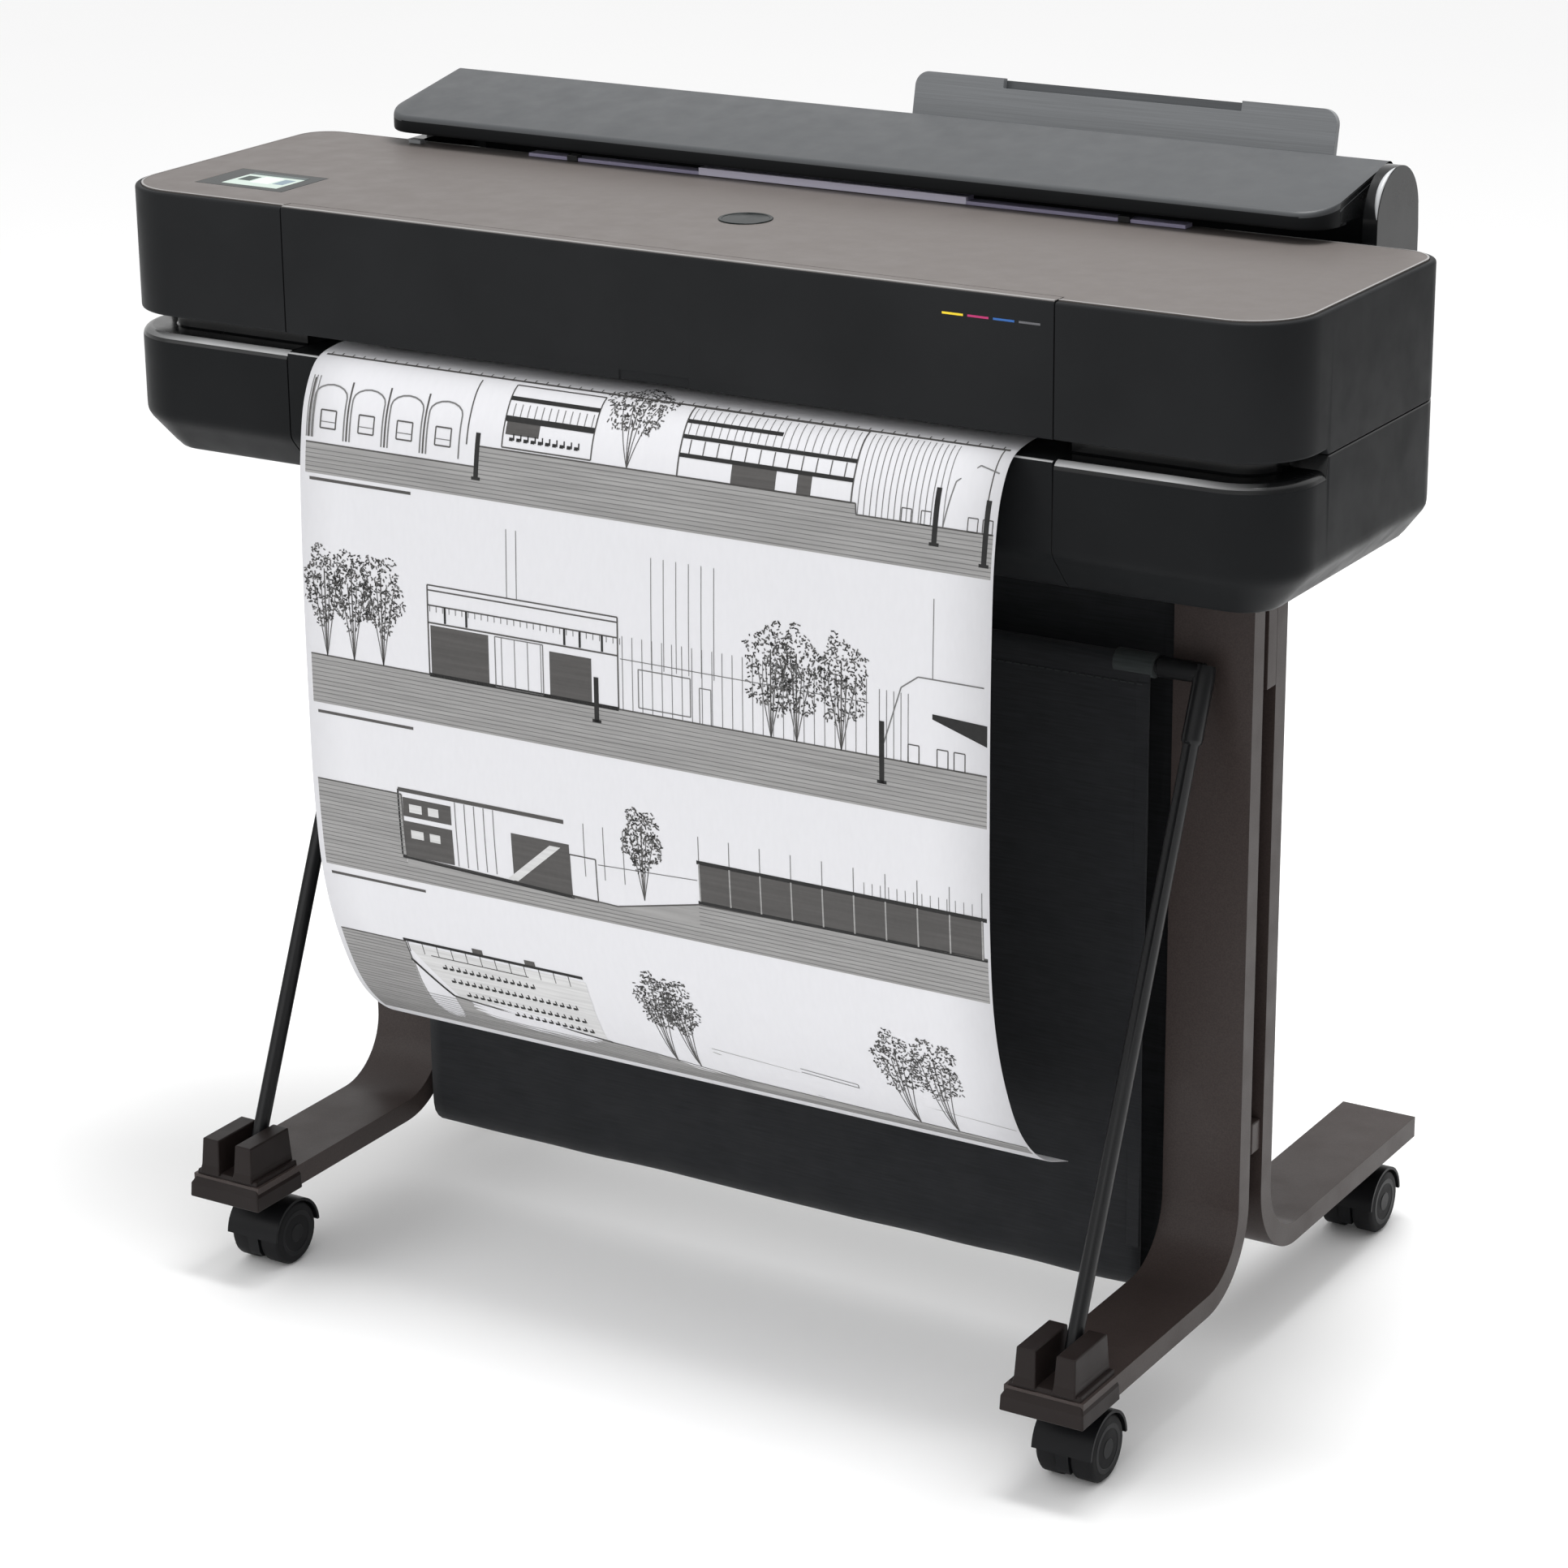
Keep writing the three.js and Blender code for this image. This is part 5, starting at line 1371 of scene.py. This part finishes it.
def lighting():
    world = bpy.data.worlds.new("studio")
    bpy.context.scene.world = world
    world.use_nodes = True
    tree = world.node_tree
    background = tree.nodes["Background"]
    background.inputs["Strength"].default_value = 1.0
    direction = tree.nodes.new("ShaderNodeTexCoord")
    split = tree.nodes.new("ShaderNodeSeparateXYZ")
    fall = tree.nodes.new("ShaderNodeMapRange")
    fall.interpolation_type = "SMOOTHSTEP"
    for socket, value in (("From Min", 0.35), ("From Max", 0.95), ("To Min", 1.0), ("To Max", 0.3)):
        fall.inputs[socket].default_value = value
    tree.links.new(direction.outputs["Generated"], split.inputs["Vector"])
    tree.links.new(split.outputs["X"], fall.inputs["Value"])
    tree.links.new(fall.outputs["Result"], background.inputs["Color"])
    area_light("overhead", (0.35, 0.1, 3.2), (0, 0, 0.4), (1.2, 1.2), 69)
    area_light("front_fill", (-2.6, -3.2, 2.2), (0, 0, 0.5), (1.6, 2.4), 14)


CAMERA = {"azimuth": 31.33, "elevation": 19.21, "roll": -0.56, "distance": 3.399, "lens": 100.06,
          "target": (0.043, -0.1075, 0.450)}


def camera():
    azimuth, elevation, roll = (math.radians(CAMERA[key]) for key in ("azimuth", "elevation", "roll"))
    back = Vector((math.sin(azimuth) * math.cos(elevation), -math.cos(azimuth) * math.cos(elevation),
                   math.sin(elevation)))
    right = Vector((math.cos(azimuth), math.sin(azimuth), 0))
    up = back.cross(right)
    level = math.cos(roll) * right + math.sin(roll) * up
    upward = math.cos(roll) * up - math.sin(roll) * right
    data = bpy.data.cameras.new("camera")
    data.lens = CAMERA["lens"]
    data.sensor_width = 36
    made = bpy.data.objects.new("camera", data)
    axes = Matrix((level, upward, back)).transposed().to_4x4()
    made.matrix_world = Matrix.Translation(Vector(CAMERA["target"]) + back * CAMERA["distance"]) @ axes
    bpy.context.scene.collection.objects.link(made)
    bpy.context.scene.camera = made


camera()
bpy.context.scene.view_settings.view_transform = "Standard"
dress_cad()
case_ends()
front_cover_shell()
lower_front_shell()
rims()
top_details()
cover_dashes()
roll_cover_shell()
end_highlight()
feed_guides()
bay_closers()
printed_sheet()
drawings()
basket()
basket_fittings()
basket_rods()
foot_caps()
caster_hubs()
rear_details()
leg_details()
stage()
lighting()
